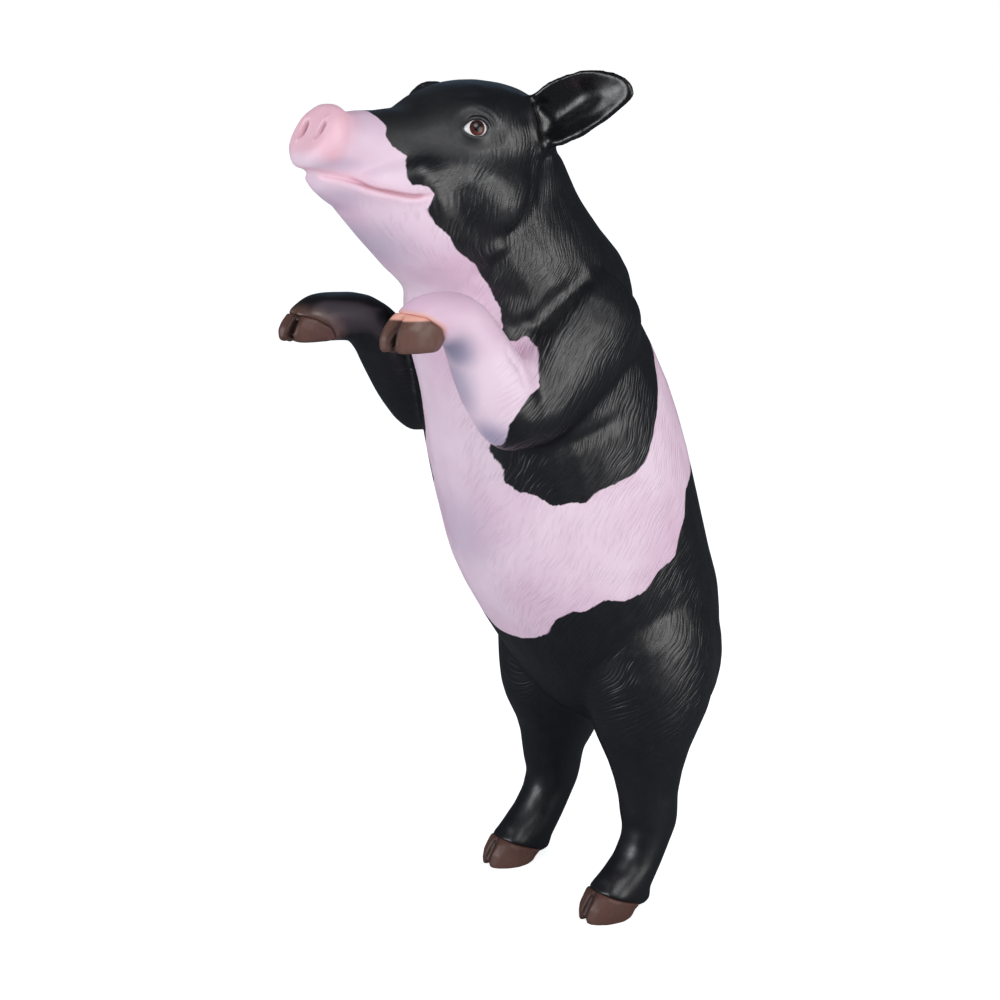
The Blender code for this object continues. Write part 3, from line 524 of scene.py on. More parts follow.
def makeSkin():
    mesh = mergedCopy(skin["nodes"], skin["grow"])
    mesh = voxelMesh(mesh, skin["voxel"])
    clay = Clay(mesh)
    thin = np.minimum.reduce([boxGap(clay.points, name) for name in ("ear_left", "ear_right", "tail")])
    strength = skin["thinStrength"] + (1 - skin["thinStrength"]) * smoothStep(0.0, skin["thinReach"], thin)
    clay.soften(skin["ironing"], strength)
    fillValleys(clay)
    clay.keep()
    print("skin cast", len(clay.points))
    for level in (1, 2):
        mesh = refined(mesh, lambda places, level=level: shapeNear(places) >= level)
    clay = Clay(mesh)
    clay.relax(2, (shapeNear(clay.points) > 0).astype(float))
    shapeFolds(clay)
    shapeEars(clay)
    clay.relax(skin["earRounds"], nearEars(clay.points))
    shapeSnout(clay)
    shapeNostrils(clay)
    shapeMouth(clay)
    shapeEyes(clay)
    clay.points[:, 2] = np.maximum(clay.points[:, 2], cadLow.z + skin["floorGap"])
    clay.keep()
    print("skin shaped", len(clay.points))
    piece = newObject("maker", mesh)
    group = piece.vertex_groups.new(name="thin out")
    ahead = clay.points[:, 1] < fromFeet(skin["headFrom"])[1]
    head = (clay.points[:, 2] > skin["headFrom"][2]) & ahead
    fineness = np.maximum(head.astype(int), 1 + shapeNear(clay.points) * head)
    for level, weight in enumerate(skin["thinning"]):
        group.add(np.nonzero(np.where(head, fineness, 0) == level)[0].tolist(), weight, "REPLACE")
    triangles = len(clay.triangles)
    thinOut = piece.modifiers.new("thin out", "DECIMATE")
    thinOut.ratio = min(1.0, skin["triangles"] / triangles)
    thinOut.vertex_group = "thin out"
    thinOut.vertex_group_factor = skin["lengthCost"]
    mesh = meshFromObject(piece)
    print("skin thinned", triangles, len(mesh.polygons))
    return mesh


# The black of head, neck and shoulders, as y and z seen from the side.
capeEdge = [
    # down the muzzle and round the corner of the mouth
    (-0.270, 1.060), (-0.272, 0.958), (-0.264, 0.943), (-0.267, 0.933), (-0.263, 0.921), (-0.250, 0.912),
    (-0.256, 0.902), (-0.258, 0.889), (-0.253, 0.883), (-0.238, 0.881), (-0.229, 0.873), (-0.236, 0.857),
    # down the throat to the fore leg, and the patch of pink above the elbow
    (-0.230, 0.844), (-0.213, 0.829), (-0.204, 0.8135), (-0.189, 0.800), (-0.177, 0.791),
    (-0.1645, 0.774), (-0.1547, 0.749), (-0.153, 0.7285), (-0.158, 0.713), (-0.140, 0.712),
    (-0.1287, 0.7195), (-0.1264, 0.7077), (-0.1307, 0.695), (-0.141, 0.667), (-0.157, 0.662),
    (-0.1684, 0.6503), (-0.1813, 0.6311), (-0.178, 0.609),
    # below the elbow and round the ribs to the back
    (-0.176, 0.596), (-0.153, 0.588), (-0.1452, 0.574), (-0.140, 0.564), (-0.140, 0.554), (-0.128, 0.541),
    (-0.115, 0.538), (-0.097, 0.524), (-0.077, 0.528), (-0.063, 0.526), (-0.052, 0.539), (-0.027, 0.546),
    (0.000, 0.555), (0.016, 0.568), (0.038, 0.611), (0.051, 0.646), (0.058, 0.672), (0.072, 0.692),
    (0.110, 0.700), (0.300, 0.700), (0.300, 1.060)]
rumpEdge = [  # the black of rump and hind legs
    (0.300, 0.560), (0.150, 0.552), (0.117, 0.535), (0.094, 0.521), (0.087, 0.493), (0.075, 0.472),
    (0.065, 0.447), (0.037, 0.432), (0.020, 0.412), (-0.006, 0.402), (-0.030, 0.407), (-0.048, 0.392),
    (-0.059, 0.394), (-0.071, 0.381), (-0.071, 0.360), (-0.077, 0.345), (-0.100, 0.338), (-0.300, 0.338),
    (-0.300, -0.100), (0.300, -0.100)]
farForeleg = [(-0.085, -0.060, 0.680), (-0.100, -0.100, 0.610), (-0.100, -0.150, 0.618),
              (-0.100, -0.175, 0.660), (-0.106, -0.205, 0.712), (-0.110, -0.240, 0.728),
              (-0.110, -0.310, 0.716)]
shades = [  # painted shade on the pink: centre, radii, strength
    ((0.119, -0.236, 0.712), (0.028, 0.026, 0.026), 0.72),  # under the wrist
    ((0.122, -0.192, 0.612), (0.030, 0.036, 0.026), 0.62),  # elbow
    ((0.108, -0.224, 0.672), (0.026, 0.026, 0.050), 0.50),  # fore arm
    ((0.000, -0.165, 0.470), (0.080, 0.050, 0.070), 0.30),  # belly
    ((0.000, -0.255, 0.820), (0.060, 0.060, 0.040), 0.36),  # throat
    ((0.000, -0.300, 0.870), (0.045, 0.040, 0.022), 0.30),  # chin
    ((0.020, -0.318, 0.905), (0.034, 0.030, 0.010), 0.30),  # upper lip
]
marking = {
    "legRadius": 0.060, "chestHalf": 0.093, "chestFrom": 0.50, "chestTo": 0.72, "chestFront": 0.153,
    "chestFade": 0.03,
    # groove is the width of the painted shade along the mouth's line
    "farWaveBack": (0.012, 38), "farWaveUp": (0.016, 31), "discBack": 0.036, "lips": 0.0080, "groove": 0.0022,
}


# Distance from a closed outline in the plane, above 0 inside it.
def insideOutline(flat, outline):
    gap = np.full(len(flat), np.inf)
    crossings = np.zeros(len(flat), int)
    for a, b in zip(outline, np.roll(outline, -1, axis=0)):
        run = b - a
        share = np.clip((flat - a) @ run / (run @ run), 0, 1)
        gap = np.minimum(gap, np.linalg.norm(flat - a - share[:, None] * run, axis=1))
        spans = (a[1] > flat[:, 1]) != (b[1] > flat[:, 1])
        with np.errstate(divide="ignore", invalid="ignore"):
            where = a[0] + (flat[:, 1] - a[1]) * run[0] / run[1]
        crossings += spans & (flat[:, 0] < where)
    return np.where(crossings % 2 == 1, gap, -gap)


# How deep each point lies in the black, in metres, how pink its paint is, and where shade is painted: along
# the mouth's groove, inside the nostrils and in the listed spots.
def paintMap(points):
    spots = points - (0, feetY, 0)
    far = smoothStep(0.0, 0.07, -spots[:, 0])
    backWave, backPace = marking["farWaveBack"]
    upWave, upPace = marking["farWaveUp"]
    flat = np.column_stack([
        spots[:, 1] + backWave * far * np.sin(backPace * spots[:, 2]),
        spots[:, 2] + far * (upWave + upWave * np.sin(upPace * spots[:, 1] + 1.0)),
    ])
    cape = insideOutline(flat, np.array(capeEdge))
    rump = insideOutline(flat, np.array(rumpEdge))
    gap, _, _ = nearestOnLine(spots, np.array(farForeleg))
    leg = marking["legRadius"] - gap
    # Between the fore legs the pink of the chest runs on down.
    chest = smoothStep(0.005, -0.005, np.abs(spots[:, 0]) - marking["chestHalf"])
    chest *= smoothStep(0, marking["chestFade"], spots[:, 2] - marking["chestFrom"])
    chest *= smoothStep(0, -marking["chestFade"], spots[:, 2] - marking["chestTo"])
    cape -= chest * np.clip(cape - (spots[:, 1] + marking["chestFront"]), 0, None)
    dark = np.maximum(np.maximum(cape, rump), leg)
    _, up, out = lookFrame()
    local = spots - np.array(snout["centre"])
    back = -marking["discBack"]
    disc = smoothStep(back, -0.010, local @ out) * smoothStep(back, -0.016, local @ up)
    gap, along, _ = nearestOnLine(folded(spots), curveThrough(mouth["line"], 4))
    lips = bump(gap, marking["lips"]) * (1 - 0.5 * along)
    blush = np.maximum(disc, 0.75 * lips)
    # Painted shade along the mouth's groove.
    groove = bump(gap, marking["groove"]) * (1 - 0.6 * smoothStep(0.85, 1.0, along))
    shade = np.zeros(len(points))
    for centre, radius, strength in shades:
        reach = np.linalg.norm((spots - centre) / radius, axis=1)
        shade = np.maximum(shade, strength * smoothStep(1.25, 0.15, reach))
    # Painted shade inside the nostrils, darker over their hollows.
    hole = np.zeros(len(points))
    for _, reach in nostrilReach(local):
        hole = np.maximum(hole, smoothStep(1.15, 0.45, reach) * (local @ out > -0.03))
    return dark, blush, groove, hole, shade


# Distance from a hoof's surface, for points near it.
def hoofGap(points, name):
    gap = np.full(len(points), 0.1)
    near = np.nonzero(boxGap(points, name) < 0.06)[0]
    source = mergedCopy((name,), 0)
    tree = BVHTree.FromPolygons([v.co for v in source.vertices], [p.vertices for p in source.polygons])
    for i in near:
        hit = tree.find_nearest(Vector(points[i]))
        gap[i] = hit[3]
    return gap


def giveAttribute(mesh, name, values):
    attribute = mesh.attributes.new(name, "FLOAT", "POINT")
    attribute.data.foreach_set("value", np.asarray(values, np.float32))


girth = {"middleY": -0.055, "shift": 0.06, "shiftZ": (0.75, 0.35), "radius": 0.125}  # of the trunk


# Two lengths over the body: round the trunk from the spine, and down it. The hair lies along them.
def hairPlane(points):
    spots = points - (0, feetY, 0)
    middle = girth["middleY"] + girth["shift"] * smoothStep(*girth["shiftZ"], spots[:, 2])
    turn = np.arctan2(np.abs(spots[:, 0]), spots[:, 1] - middle)
    return girth["radius"] * turn, -spots[:, 2]


bare = {  # where the cut hair fades out, from and to: by x, y or z, or by a distance
    "headZ": (0.775, 0.815), "headY": (-0.02, -0.07), "muzzleY": (-0.235, -0.262), "muzzleZ": (0.84, 0.89),
    "foreheadZ": (0.935, 0.965), "faceY": (-0.155, -0.190), "faceZ": (0.900, 0.922), "midX": (0.045, 0.010),
    "midY": (0.0, -0.06), "eye": (0.036, 0.016), "ear": (0.036, 0.018), "earY": (-0.103, -0.092),
    "earZ": (0.900, 0.920), "shinZ": (0.26, 0.18), "forearmY": (-0.17, -0.21), "wristZ": 0.79,
}
feet = {  # how far their paints reach over the skin
    "pinkRim": (0.0080, 0.0012), "pinkY": (-0.250, -0.262), "brown": (0.022, 0.002), "brownZ": (0.750, 0.737),
}


# Writes where each paint lies, and where the cut hair fades out.
def paintSkin(mesh):
    points = readArray(mesh.vertices, "co", 3)
    dark, blush, groove, hole, shade = paintMap(points)
    spots = points - (0, feetY, 0)
    side, down = hairPlane(points)
    x, y, z = spots.T
    head = smoothStep(*bare["headZ"], z) * smoothStep(*bare["headY"], y)
    muzzle = smoothStep(*bare["muzzleY"], y) * smoothStep(*bare["muzzleZ"], z)
    forehead = 0.85 * head * smoothStep(*bare["foreheadZ"], z)
    face = head * smoothStep(*bare["faceY"], y) * smoothStep(*bare["faceZ"], z)
    midline = smoothStep(*bare["midX"], np.abs(x)) * smoothStep(*bare["midY"], y)
    eyes = smoothStep(*bare["eye"], np.linalg.norm(folded(spots) - eye["middle"], axis=1))
    ears = smoothStep(*bare["ear"], np.minimum(boxGap(points, "ear_left"), boxGap(points, "ear_right")))
    ears *= smoothStep(*bare["earY"], y) * smoothStep(*bare["earZ"], z)
    shins = smoothStep(*bare["shinZ"], z)
    forearms = smoothStep(*bare["forearmY"], y) * (z < bare["wristZ"])
    smooth = np.maximum.reduce([muzzle, forehead, face, eyes, ears, shins, forearms, midline])
    coronet = smoothStep(*feet["pinkRim"], hoofGap(points, "hoof_fore_left")) * smoothStep(*feet["pinkY"], y)
    brown = smoothStep(*feet["brown"], hoofGap(points, "hoof_fore_right")) * smoothStep(*feet["brownZ"], z)
    for name, values in {
        "dark": dark, "blush": blush, "groove": groove, "nostril": hole, "shade": shade, "coronet": coronet,
        "brownFoot": brown, "ear": ears, "hair": 1 - 0.92 * smooth, "headHair": head, "matt": face,
        "round": side, "down": down,
    }.items():
        giveAttribute(mesh, name, values)


# A named colour, from sRGB of 0 to 255 to the linear values that shaders take.
def tint(values, name):
    return (*[((c / 255 + 0.055) / 1.055) ** 2.4 for c in values[name]], 1.0)


# Short ways to build a node tree.
class Nodes:
    def __init__(self, tree):
        self.tree = tree

    def add(self, kind, inputs=None, **settings):
        node = self.tree.nodes.new(kind)
        for name, value in settings.items():
            setattr(node, name, value)
        self.give(node, inputs or {})
        return node

    # Each input takes a value, or a link from another node's socket.
    def give(self, node, inputs):
        for key, value in inputs.items():
            if isinstance(value, bpy.types.NodeSocket):
                self.tree.links.new(value, node.inputs[key])
            else:
                node.inputs[key].default_value = value

    def math(self, operation, a, b=0.0):
        return self.add("ShaderNodeMath", {0: a, 1: b}, operation=operation).outputs[0]

    def times(self, a, b):
        return self.math("MULTIPLY", a, b)

    def plus(self, a, b):
        return self.math("ADD", a, b)

    def mix(self, share, a, b):
        return self.add("ShaderNodeMix", {0: share, 6: a, 7: b}, data_type="RGBA").outputs[2]

    def mixFloat(self, share, a, b):
        return self.add("ShaderNodeMix", {0: share, 2: a, 3: b}, data_type="FLOAT").outputs[0]

    def ramp(self, value, low, high, outLow=0.0, outHigh=1.0):
        inputs = {0: value, 1: low, 2: high, 3: outLow, 4: outHigh}
        return self.add("ShaderNodeMapRange", inputs, interpolation_type="SMOOTHSTEP").outputs[0]

    def attribute(self, name):
        return self.add("ShaderNodeAttribute", attribute_name=name).outputs["Fac"]

    def place(self):
        return self.add("ShaderNodeTexCoord").outputs["Object"]

    def noise(self, vector, scale, detail=2.0, rough=0.5):
        inputs = {"Vector": vector, "Scale": scale, "Detail": detail, "Roughness": rough}
        return self.add("ShaderNodeTexNoise", inputs).outputs["Fac"]


def newMaterial(name):
    material = bpy.data.materials.new(name)
    material.use_nodes = True
    nodes = Nodes(material.node_tree)
    shader = material.node_tree.nodes["Principled BSDF"]
    return material, nodes, shader


def groupSockets(tree, inputs, outputs):
    for name, kind, value in inputs:
        socket = tree.interface.new_socket(name, in_out="INPUT", socket_type=kind)
        if value is not None:
            socket.default_value = value
    for name, kind in outputs:
        tree.interface.new_socket(name, in_out="OUTPUT", socket_type=kind)


# Brushed paint: slow changes of tone, fine mottling and a little unevenness of the film.
def handPaintGroup():
    tree = bpy.data.node_groups.new("handPaint", "ShaderNodeTree")
    groupSockets(tree, [("Vector", "NodeSocketVector", None), ("Scale", "NodeSocketFloat", 1.0)],
                 [("Tone", "NodeSocketFloat"), ("Mottle", "NodeSocketFloat"), ("Film", "NodeSocketFloat")])
    nodes = Nodes(tree)
    given = nodes.add("NodeGroupInput")
    result = nodes.add("NodeGroupOutput")
    scale = given.outputs["Scale"]
    vector = given.outputs["Vector"]
    noises = ("Tone", 7.0, 3.0, 0.55), ("Mottle", 60.0, 4.0, 0.6), ("Film", 260.0, 3.0, 0.6)
    for name, pace, detail, rough in noises:
        noise = nodes.noise(vector, nodes.times(scale, pace), detail, rough)
        nodes.give(result, {name: noise})
    return tree


# Short tapered cuts that lie along one direction: long thin cells, each holding one stroke.
def combedLinesGroup():
    tree = bpy.data.node_groups.new("combedLines", "ShaderNodeTree")
    groupSockets(tree, [("Round", "NodeSocketFloat", 0.0), ("Down", "NodeSocketFloat", 0.0),
                        ("Slant", "NodeSocketFloat", 0.6), ("Width", "NodeSocketFloat", 0.003),
                        ("Length", "NodeSocketFloat", 0.035), ("Wander", "NodeSocketFloat", 0.5)],
                 [("Height", "NodeSocketFloat"), ("Strand", "NodeSocketFloat")])
    nodes = Nodes(tree)
    given = nodes.add("NodeGroupInput")
    result = nodes.add("NodeGroupOutput")
    side, down = given.outputs["Round"], given.outputs["Down"]
    plane = nodes.add("ShaderNodeCombineXYZ", {0: side, 1: down}).outputs[0]
    slow = nodes.math("SUBTRACT", nodes.noise(plane, 9.0), 0.5)
    sine = nodes.math("SINE", given.outputs["Slant"])
    cosine = nodes.math("COSINE", given.outputs["Slant"])
    along = nodes.plus(nodes.times(down, cosine), nodes.times(side, sine))
    across = nodes.math("SUBTRACT", nodes.times(side, cosine), nodes.times(down, sine))
    drift = nodes.times(slow, nodes.times(given.outputs["Wander"], 0.09))
    across = nodes.plus(across, drift)
    vector = nodes.add("ShaderNodeCombineXYZ", {
        0: nodes.math("DIVIDE", across, given.outputs["Width"]),
        1: nodes.math("DIVIDE", along, given.outputs["Length"]),
    }).outputs[0]
    cell = nodes.add("ShaderNodeTexVoronoi", {"Vector": vector, "Scale": 1.0, "Randomness": 1.0},
                     voronoi_dimensions="2D", feature="F1")
    height = nodes.ramp(cell.outputs["Distance"], 0.05, 0.55)
    nodes.give(result, {"Height": height, "Strand": nodes.noise(vector, 1.0)})
    return tree


coat = {
    # The darkest black is painted shade over the ears' hollows.
    "black": (9, 12, 19), "blackWarm": (19, 19, 24), "earShade": (6, 7, 10),
    "pink": (243, 217, 231), "pinkDeep": (229, 192, 213),
    # This line holds painted shade: darker pink at the bottoms of the carved hair cuts, in the mouth's groove
    # and inside the nostrils, and the bluish shade of the listed spots.
    "cutShade": (206, 166, 192), "rose": (252, 196, 208), "groove": (176, 112, 124), "nostril": (128, 72, 82),
    "shade": (118, 124, 160), "coronet": (238, 172, 152), "brown": (104, 74, 62),
    "strokes": {  # slant, width, length
        "body": (0.62, 0.0032, 0.040), "bodyFine": (0.55, 0.0016, 0.022), "head": (0.05, 0.0030, 0.028)},
    "fringe": 0.0036, "wave": 0.0050, "edge": 0.0008, "relief": 0.55, "headRelief": 0.75,
    "pinkGloss": 0.50, "blackGloss": 0.38, "earGloss": 0.30, "faceGloss": 0.62,
    "specular": 0.95, "satin": 0.35, "earSatin": 0.1225, "satinRoughness": 0.38,
}


def skinPaint(shared):
    material, nodes, shader = newMaterial("skinPaint")
    place = nodes.place()
    paint = nodes.add("ShaderNodeGroup", {"Vector": place}, node_tree=shared["handPaint"])
    lines = {}
    for key, (slant, width, length) in coat["strokes"].items():
        lines[key] = nodes.add("ShaderNodeGroup", {
            "Round": nodes.attribute("round"), "Down": nodes.attribute("down"),
            "Slant": slant, "Width": width, "Length": length,
        }, node_tree=shared["combedLines"])
    headHair = nodes.attribute("headHair")
    coarse = nodes.mixFloat(headHair, lines["body"].outputs["Height"], lines["head"].outputs["Height"])
    strand = nodes.mixFloat(headHair, lines["body"].outputs["Strand"], lines["head"].outputs["Strand"])
    fringe = nodes.times(nodes.math("SUBTRACT", strand, 0.5), coat["fringe"])
    wave = nodes.times(nodes.math("SUBTRACT", nodes.noise(place, 34.0), 0.5), coat["wave"])
    edge = nodes.plus(nodes.attribute("dark"), nodes.plus(fringe, wave))
    black = nodes.ramp(edge, -coat["edge"], coat["edge"])
    tone, mottle = paint.outputs["Tone"], paint.outputs["Mottle"]
    hair = nodes.attribute("hair")
    pink = nodes.mix(nodes.ramp(tone, 0.35, 0.7), tint(coat, "pink"), tint(coat, "pinkDeep"))
    # Painted shade: the pink darkened at the bottoms of the carved hair cuts.
    cutShade = nodes.times(nodes.ramp(coarse, 0.0, 0.45, 0.20, 0.0), hair)
    pink = nodes.mix(cutShade, pink, tint(coat, "cutShade"))
    rose = nodes.mix(nodes.ramp(mottle, 0.3, 0.7, 0.0, 0.25), tint(coat, "rose"), tint(coat, "pink"))
    pink = nodes.mix(nodes.attribute("blush"), pink, rose)
    # Painted shade: darker along the mouth's groove, inside the nostrils and in the shade spots; the coronet
    # is the foot's own pink.
    for name, share in (("groove", 0.75), ("nostril", 1.0), ("coronet", 0.85), ("shade", 1.0)):
        pink = nodes.mix(nodes.times(nodes.attribute(name), share), pink, tint(coat, name))
    dark = nodes.mix(nodes.ramp(mottle, 0.4, 0.75), tint(coat, "black"), tint(coat, "blackWarm"))
    stain = nodes.times(nodes.attribute("brownFoot"), nodes.ramp(mottle, 0.20, 0.65, 0.35, 1.0))
    dark = nodes.mix(stain, dark, tint(coat, "brown"))
    # Painted shade: a darker black over the ears, for the shade in their hollows.
    dark = nodes.mix(nodes.attribute("ear"), dark, tint(coat, "earShade"))
    uneven = nodes.ramp(paint.outputs["Film"], 0.3, 0.7, -0.04, 0.05)
    gloss = nodes.mixFloat(black, coat["pinkGloss"], coat["blackGloss"])
    gloss = nodes.mixFloat(nodes.attribute("ear"), gloss, coat["earGloss"])
    gloss = nodes.mixFloat(nodes.times(nodes.attribute("matt"), black), gloss, coat["faceGloss"])
    relief = nodes.times(paint.outputs["Film"], 0.05)
    cuts = nodes.plus(nodes.times(coarse, 0.75), nodes.times(lines["bodyFine"].outputs["Height"], 0.25))
    cuts = nodes.times(cuts, nodes.mixFloat(headHair, 1.0, coat["headRelief"]))
    relief = nodes.plus(relief, nodes.times(cuts, hair))
    lumps = nodes.add("ShaderNodeBump", {"Strength": coat["relief"], "Distance": 0.0012, "Height": relief})
    satin = nodes.mixFloat(nodes.attribute("ear"), coat["satin"], coat["earSatin"])
    nodes.give(shader, {
        "Base Color": nodes.mix(black, pink, dark), "Roughness": nodes.plus(gloss, uneven),
        "Normal": lumps.outputs[0], "Specular IOR Level": coat["specular"],
        "Coat Weight": nodes.times(black, satin), "Coat Roughness": coat["satinRoughness"],
    })
    return material


hoof = {
    "voxel": 0.0013, "rounds": 16, "grow": 0.0007, "cleftWide": 0.0032, "cleftDeep": 0.0095,
    # The painted shade down the cleft: its reach here, its dark colour below.
    "cleftShade": 0.0062, "horn": (88, 58, 50), "hornLight": (112, 79, 68), "grain": (70, 46, 40),
    "cleftShadow": (34, 20, 18), "relief": 0.35,
    "cuffAbove": 0.7492,    # the left fore foot's skin is painted on over the top of its horn
    "clefts": {  # from the coronet down the front and back under the sole
        "hoof_fore_left": [(0.115, -0.300, 0.752), (0.119, -0.311, 0.738), (0.121, -0.3155, 0.727),
                           (0.121, -0.315, 0.716), (0.112, -0.270, 0.711)],
        "hoof_fore_right": [(-0.100, -0.297, 0.738), (-0.098, -0.304, 0.727), (-0.097, -0.309, 0.717),
                            (-0.098, -0.311, 0.708), (-0.108, -0.262, 0.697)],
        "hoof_hind_left": [(0.100, -0.022, 0.042), (0.100, -0.036, 0.018), (0.100, -0.041, 0.000),
                           (0.100, 0.010, -0.002)],
    },
}
hoof["clefts"]["hoof_hind_right"] = [(-x, y, z) for x, y, z in hoof["clefts"]["hoof_hind_left"]]


def hoofPaint(shared):
    material, nodes, shader = newMaterial("hoofPaint")
    place = nodes.place()
    paint = nodes.add("ShaderNodeGroup", {"Vector": place}, node_tree=shared["handPaint"])
    stretched = nodes.add("ShaderNodeMapping", {"Vector": place, "Scale": (420, 420, 26)})
    grain = nodes.noise(stretched.outputs[0], 1.0, 3.0, 0.6)
    tone = nodes.ramp(paint.outputs["Tone"], 0.3, 0.7)
    colour = nodes.mix(tone, tint(hoof, "horn"), tint(hoof, "hornLight"))
    colour = nodes.mix(nodes.ramp(grain, 0.35, 0.75, 0.0, 0.15), colour, tint(hoof, "grain"))
    # Painted shade down the cleft between the claws.
    colour = nodes.mix(nodes.times(nodes.attribute("cleftShadow"), 0.9), colour, tint(hoof, "cleftShadow"))
    colour = nodes.mix(nodes.attribute("cuff"), colour, tint(coat, "coronet"))
    lumps = nodes.add("ShaderNodeBump", {"Strength": hoof["relief"], "Distance": 0.0005, "Height": grain})
    rough = nodes.ramp(paint.outputs["Mottle"], 0.3, 0.7, 0.34, 0.46)
    nodes.give(shader, {"Base Color": colour, "Roughness": rough, "Normal": lumps.outputs[0]})
    return material


# Painted under gloss: pupil, streaked iris, dark rim and white, by the angle from the gaze, and a painted
# shadow of the lid over the iris's top, by height.
def eyePaint():
    material, nodes, shader = newMaterial("eyePaint")
    reach = nodes.attribute("reach")
    spokes = nodes.add("ShaderNodeAttribute", attribute_name="spokes").outputs["Vector"]
    streak = nodes.noise(spokes, 1.0, 3.0, 0.6)
    iris = nodes.mix(nodes.ramp(streak, 0.35, 0.7), tint(eye, "irisDark"), tint(eye, "irisLight"))
    iris = nodes.mix(nodes.ramp(reach, eye["pupil"], eye["iris"], 0.0, 0.45), iris, tint(eye, "irisEdge"))
    # Painted shadow of the upper lid: the iris darker towards its top.
    height = nodes.add("ShaderNodeSeparateXYZ", {0: nodes.place()}).outputs["Z"]
    lidShadow = nodes.ramp(height, eye["middle"][2] - 0.002, eye["middle"][2] + 0.005, 0.0, 0.85)
    iris = nodes.mix(lidShadow, iris, tint(eye, "browShade"))
    rim = nodes.ramp(reach, 0.84 * eye["iris"], eye["iris"], 0.0, 0.85)
    iris = nodes.mix(rim, iris, tint(eye, "irisRim"))
    veins = nodes.noise(spokes, 3.0, 4.0, 0.7)
    white = nodes.mix(nodes.ramp(veins, 0.55, 0.8, 0.0, 0.3), tint(eye, "white"), tint(eye, "vein"))
    colour = nodes.mix(nodes.ramp(reach, eye["iris"] - 0.0003, eye["iris"] + 0.0003), iris, white)
    colour = nodes.mix(nodes.ramp(reach, eye["pupil"] - 0.0004, eye["pupil"] + 0.0004, 1.0, 0.0),
                       colour, tint(eye, "pupilBlack"))
    nodes.give(shader, {
        "Base Color": colour, "Roughness": nodes.ramp(streak, 0.2, 0.8, 0.22, 0.30),
        "Coat Weight": eye["gloss"], "Coat Roughness": eye["glossRoughness"],
    })
    return material


# A ball of rings round the gaze, with a slight swelling over the iris.
def makeEye(name, side, material):
    out, up, back = eyeAxes()
    count = eye["rings"]
    middle = fromFeet(eye["middle"]) + out * (eye["apex"] - eye["radius"])
    gaze = out + (up * eye["gazeUp"] + back * eye["gazeBack"]) / eye["radius"]
    out = gaze / np.linalg.norm(gaze)
    up = np.cross(out, back)
    up *= np.sign(up[2]) / np.linalg.norm(up)
    back = np.cross(up, out)
    shape = bmesh.new()
    reach, spokes, rows = [], [], []
    for i in range(count + 1):
        angle = math.radians(eye["halfAngle"]) * i / count
        row = []
        for j in range(count if i else 1):
            turn = 2 * math.pi * j / count
            flat = eye["radius"] * math.sin(angle)
            swell = eye["swell"] * (math.exp(-((flat / eye["swellWide"]) ** 4)) - 1)
            point = middle + out * (eye["radius"] * math.cos(angle) + swell)
            point = point + (up * math.sin(turn) + back * math.cos(turn)) * flat
            row.append(shape.verts.new((side * point[0], point[1], point[2])))
            reach.append(eye["radius"] * angle)
            spokes.append((eye["spokes"] * math.cos(turn), eye["spokes"] * math.sin(turn),
                           eye["ringPace"] * eye["radius"] * angle))
        rows.append(row)
    for inner, outer in zip(rows, rows[1:]):
        for j in range(count):
            following = (j + 1) % count
            if len(inner) == 1:
                shape.faces.new((inner[0], outer[j], outer[following]))
            else:
                shape.faces.new((inner[j], outer[j], outer[following], inner[following]))
    shape.faces.new(reversed(rows[-1]))
    bmesh.ops.recalc_face_normals(shape, faces=shape.faces)
    mesh = meshFromShape(name, shape)
    giveAttribute(mesh, "reach", reach)
    vectors = mesh.attributes.new("spokes", "FLOAT_VECTOR", "POINT")
    vectors.data.foreach_set("vector", np.array(spokes, np.float32).ravel())
    piece = finishedPiece(name, mesh, material)
    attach(piece, "root")
    return piece


def makeHoof(node, material):
    mesh = voxelMesh(mergedCopy((node,), hoof["grow"]), hoof["voxel"])
    clay = Clay(mesh)
    low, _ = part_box(node)
    clay.soften(hoof["rounds"], np.ones(len(clay.points)))
    gap, _, _ = nearestOnLine(clay.points, curveThrough(fromFeet(hoof["clefts"][node]), 4))
    clay.push(-hoof["cleftDeep"] * bump(gap, hoof["cleftWide"]))
    clay.points[:, 2] = np.maximum(clay.points[:, 2], low.z if low.z > 0.01 else 0.0)
    clay.keep()
    # Where the painted shade of the cleft lies.
    giveAttribute(mesh, "cleftShadow", bump(gap, hoof["cleftShade"]))
    cuff = smoothStep(-0.0012, 0.0012, clay.points[:, 2] - hoof["cuffAbove"])
    giveAttribute(mesh, "cuff", cuff if node == "hoof_fore_left" else 0 * cuff)
    piece = finishedPiece(node + "_horn", mesh, material)
    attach(piece, "root")
    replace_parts(piece, node)


view = {"azimuth": 54, "elevation": 13, "distance": 2.2, "aim": (-0.043, -0.0592, 0.498), "lens": 66}
light = {  # azimuth, elevation, distance, size, power, colour
    "key": (74, 44, 2.6, 1.1, 12, (1.0, 1.0, 1.0)),
    "side": (108, 12, 2.6, 1.8, 20, (1.0, 0.98, 0.97)),
    "fill": (-2, 14, 2.8, 1.6, 25, (0.95, 0.97, 1.0)),
    "back": (236, 34, 2.8, 1.4, 1.0, (0.40, 0.66, 1.0)),
}
room = {
    "floorRadius": 60, "pale": (0.90, 0.90, 0.905, 1), "paler": (0.92, 0.92, 0.92, 1),
    "mirrored": (0.12, 0.12, 0.13, 1), "floorGlow": 0.72, "white": (1, 1, 1, 1), "sky": (0.84, 0.91, 1.0, 1),
    "skyStrength": 0.50, "mirroredSky": 0.05,
}


def aimFrom(thing, azimuth, elevation, distance, aim):
    turn, rise = math.radians(azimuth), math.radians(elevation)
    flat = math.cos(rise)
    towards = Vector((math.sin(turn) * flat, -math.cos(turn) * flat, math.sin(rise)))
    thing.location = Vector(aim) + distance * towards
    thing.rotation_euler = (Vector(aim) - thing.location).to_track_quat("-Z", "Y").to_euler()


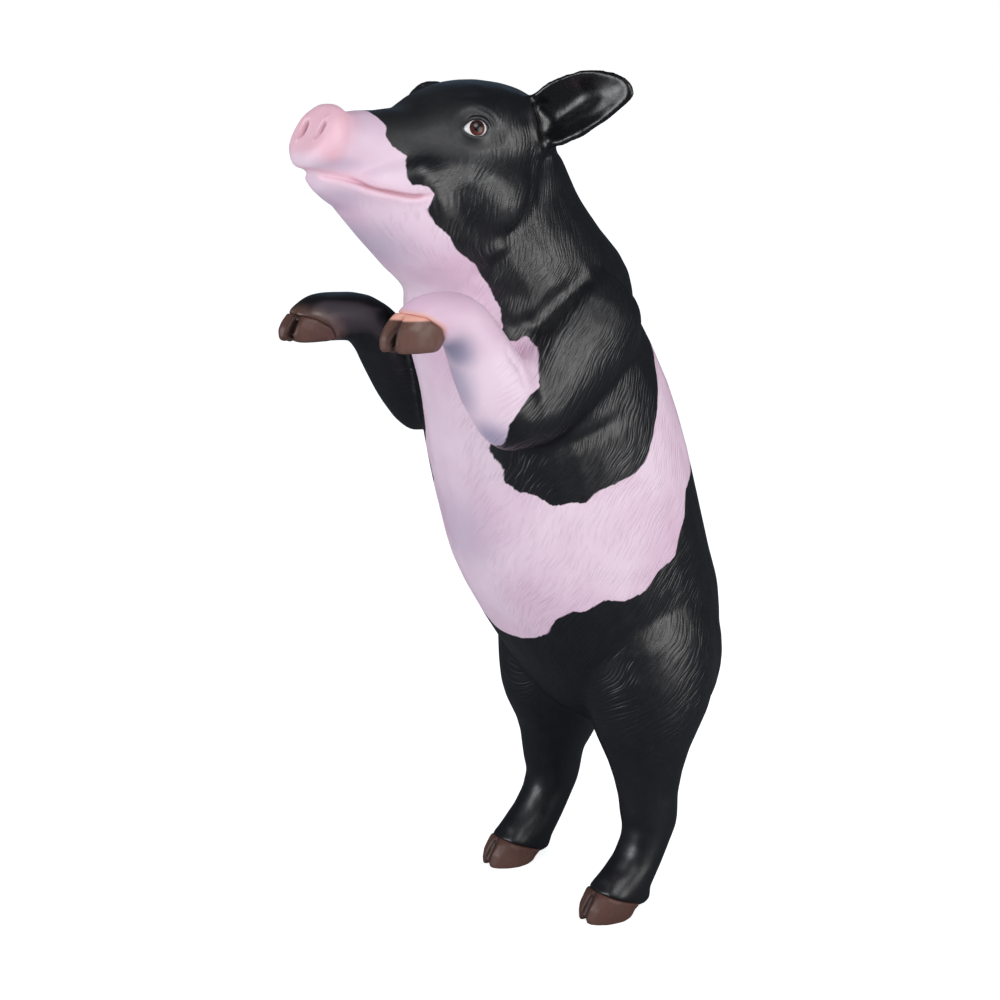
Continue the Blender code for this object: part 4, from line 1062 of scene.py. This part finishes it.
def makeStage():
    scene = bpy.context.scene
    aim = fromFeet(view["aim"])
    lens = bpy.data.cameras.new("camera")
    lens.lens = view["lens"]
    camera = newObject("camera", lens)
    aimFrom(camera, view["azimuth"], view["elevation"], view["distance"], aim)
    scene.camera = camera
    for name, (azimuth, elevation, distance, size, power, colour) in light.items():
        lamp = bpy.data.lights.new(name, "AREA")
        lamp.shape = "DISK"
        lamp.size = size
        lamp.energy = power
        lamp.color = colour
        aimFrom(newObject(name, lamp), azimuth, elevation, distance, aim)
    shape = bmesh.new()
    bmesh.ops.create_circle(shape, cap_ends=True, radius=room["floorRadius"], segments=64)
    mesh = meshFromShape("floor", shape)
    floor = newObject("floor", mesh)
    floor.location.z = cadLow.z - 0.0004
    material, nodes, shader = newMaterial("paleFloor")
    speck = nodes.noise(nodes.place(), 30.0)
    pale = nodes.mix(nodes.ramp(speck, 0.3, 0.7), room["pale"], room["paler"])
    # Painted shade: the floor turns dark where gloss reflects it, so the paint mirrors less of it than a pale
    # floor would give.
    mirrored = nodes.add("ShaderNodeLightPath").outputs["Is Glossy Ray"]
    seen = nodes.add("ShaderNodeLightPath").outputs["Is Camera Ray"]
    nodes.give(shader, {
        "Base Color": nodes.mix(mirrored, pale, room["mirrored"]), "Roughness": 0.75,
        "Specular IOR Level": 0.1, "Emission Color": room["white"],
        "Emission Strength": nodes.times(seen, room["floorGlow"]),
    })
    mesh.materials.append(material)
    world = bpy.data.worlds.new("studio")
    world.use_nodes = True
    scene.world = world
    nodes = Nodes(world.node_tree)
    background = world.node_tree.nodes["Background"]
    path = nodes.add("ShaderNodeLightPath")
    seen = path.outputs["Is Camera Ray"]
    strength = nodes.mixFloat(path.outputs["Is Glossy Ray"], room["skyStrength"], room["mirroredSky"])
    nodes.give(background, {
        "Strength": nodes.mixFloat(seen, strength, 1.0), "Color": nodes.mix(seen, room["sky"], room["white"]),
    })
    scene.view_settings.view_transform = "Standard"


makeStage()
print("stage set")
shared = {"handPaint": handPaintGroup(), "combedLines": combedLinesGroup()}
skinMesh = makeSkin()
paintSkin(skinMesh)
skinPiece = finishedPiece("skin", skinMesh, skinPaint(shared))
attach(skinPiece, "root")
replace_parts(skinPiece, *skin["nodes"])
print("skin painted")
eyeMaterial = eyePaint()
for name, side in (("eye_left", 1), ("eye_right", -1)):
    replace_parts(makeEye(name + "_glass", side, eyeMaterial), name)
hornMaterial = hoofPaint(shared)
for node in ("hoof_fore_left", "hoof_fore_right", "hoof_hind_left", "hoof_hind_right"):
    makeHoof(node, hornMaterial)
print("eyes and hooves made")
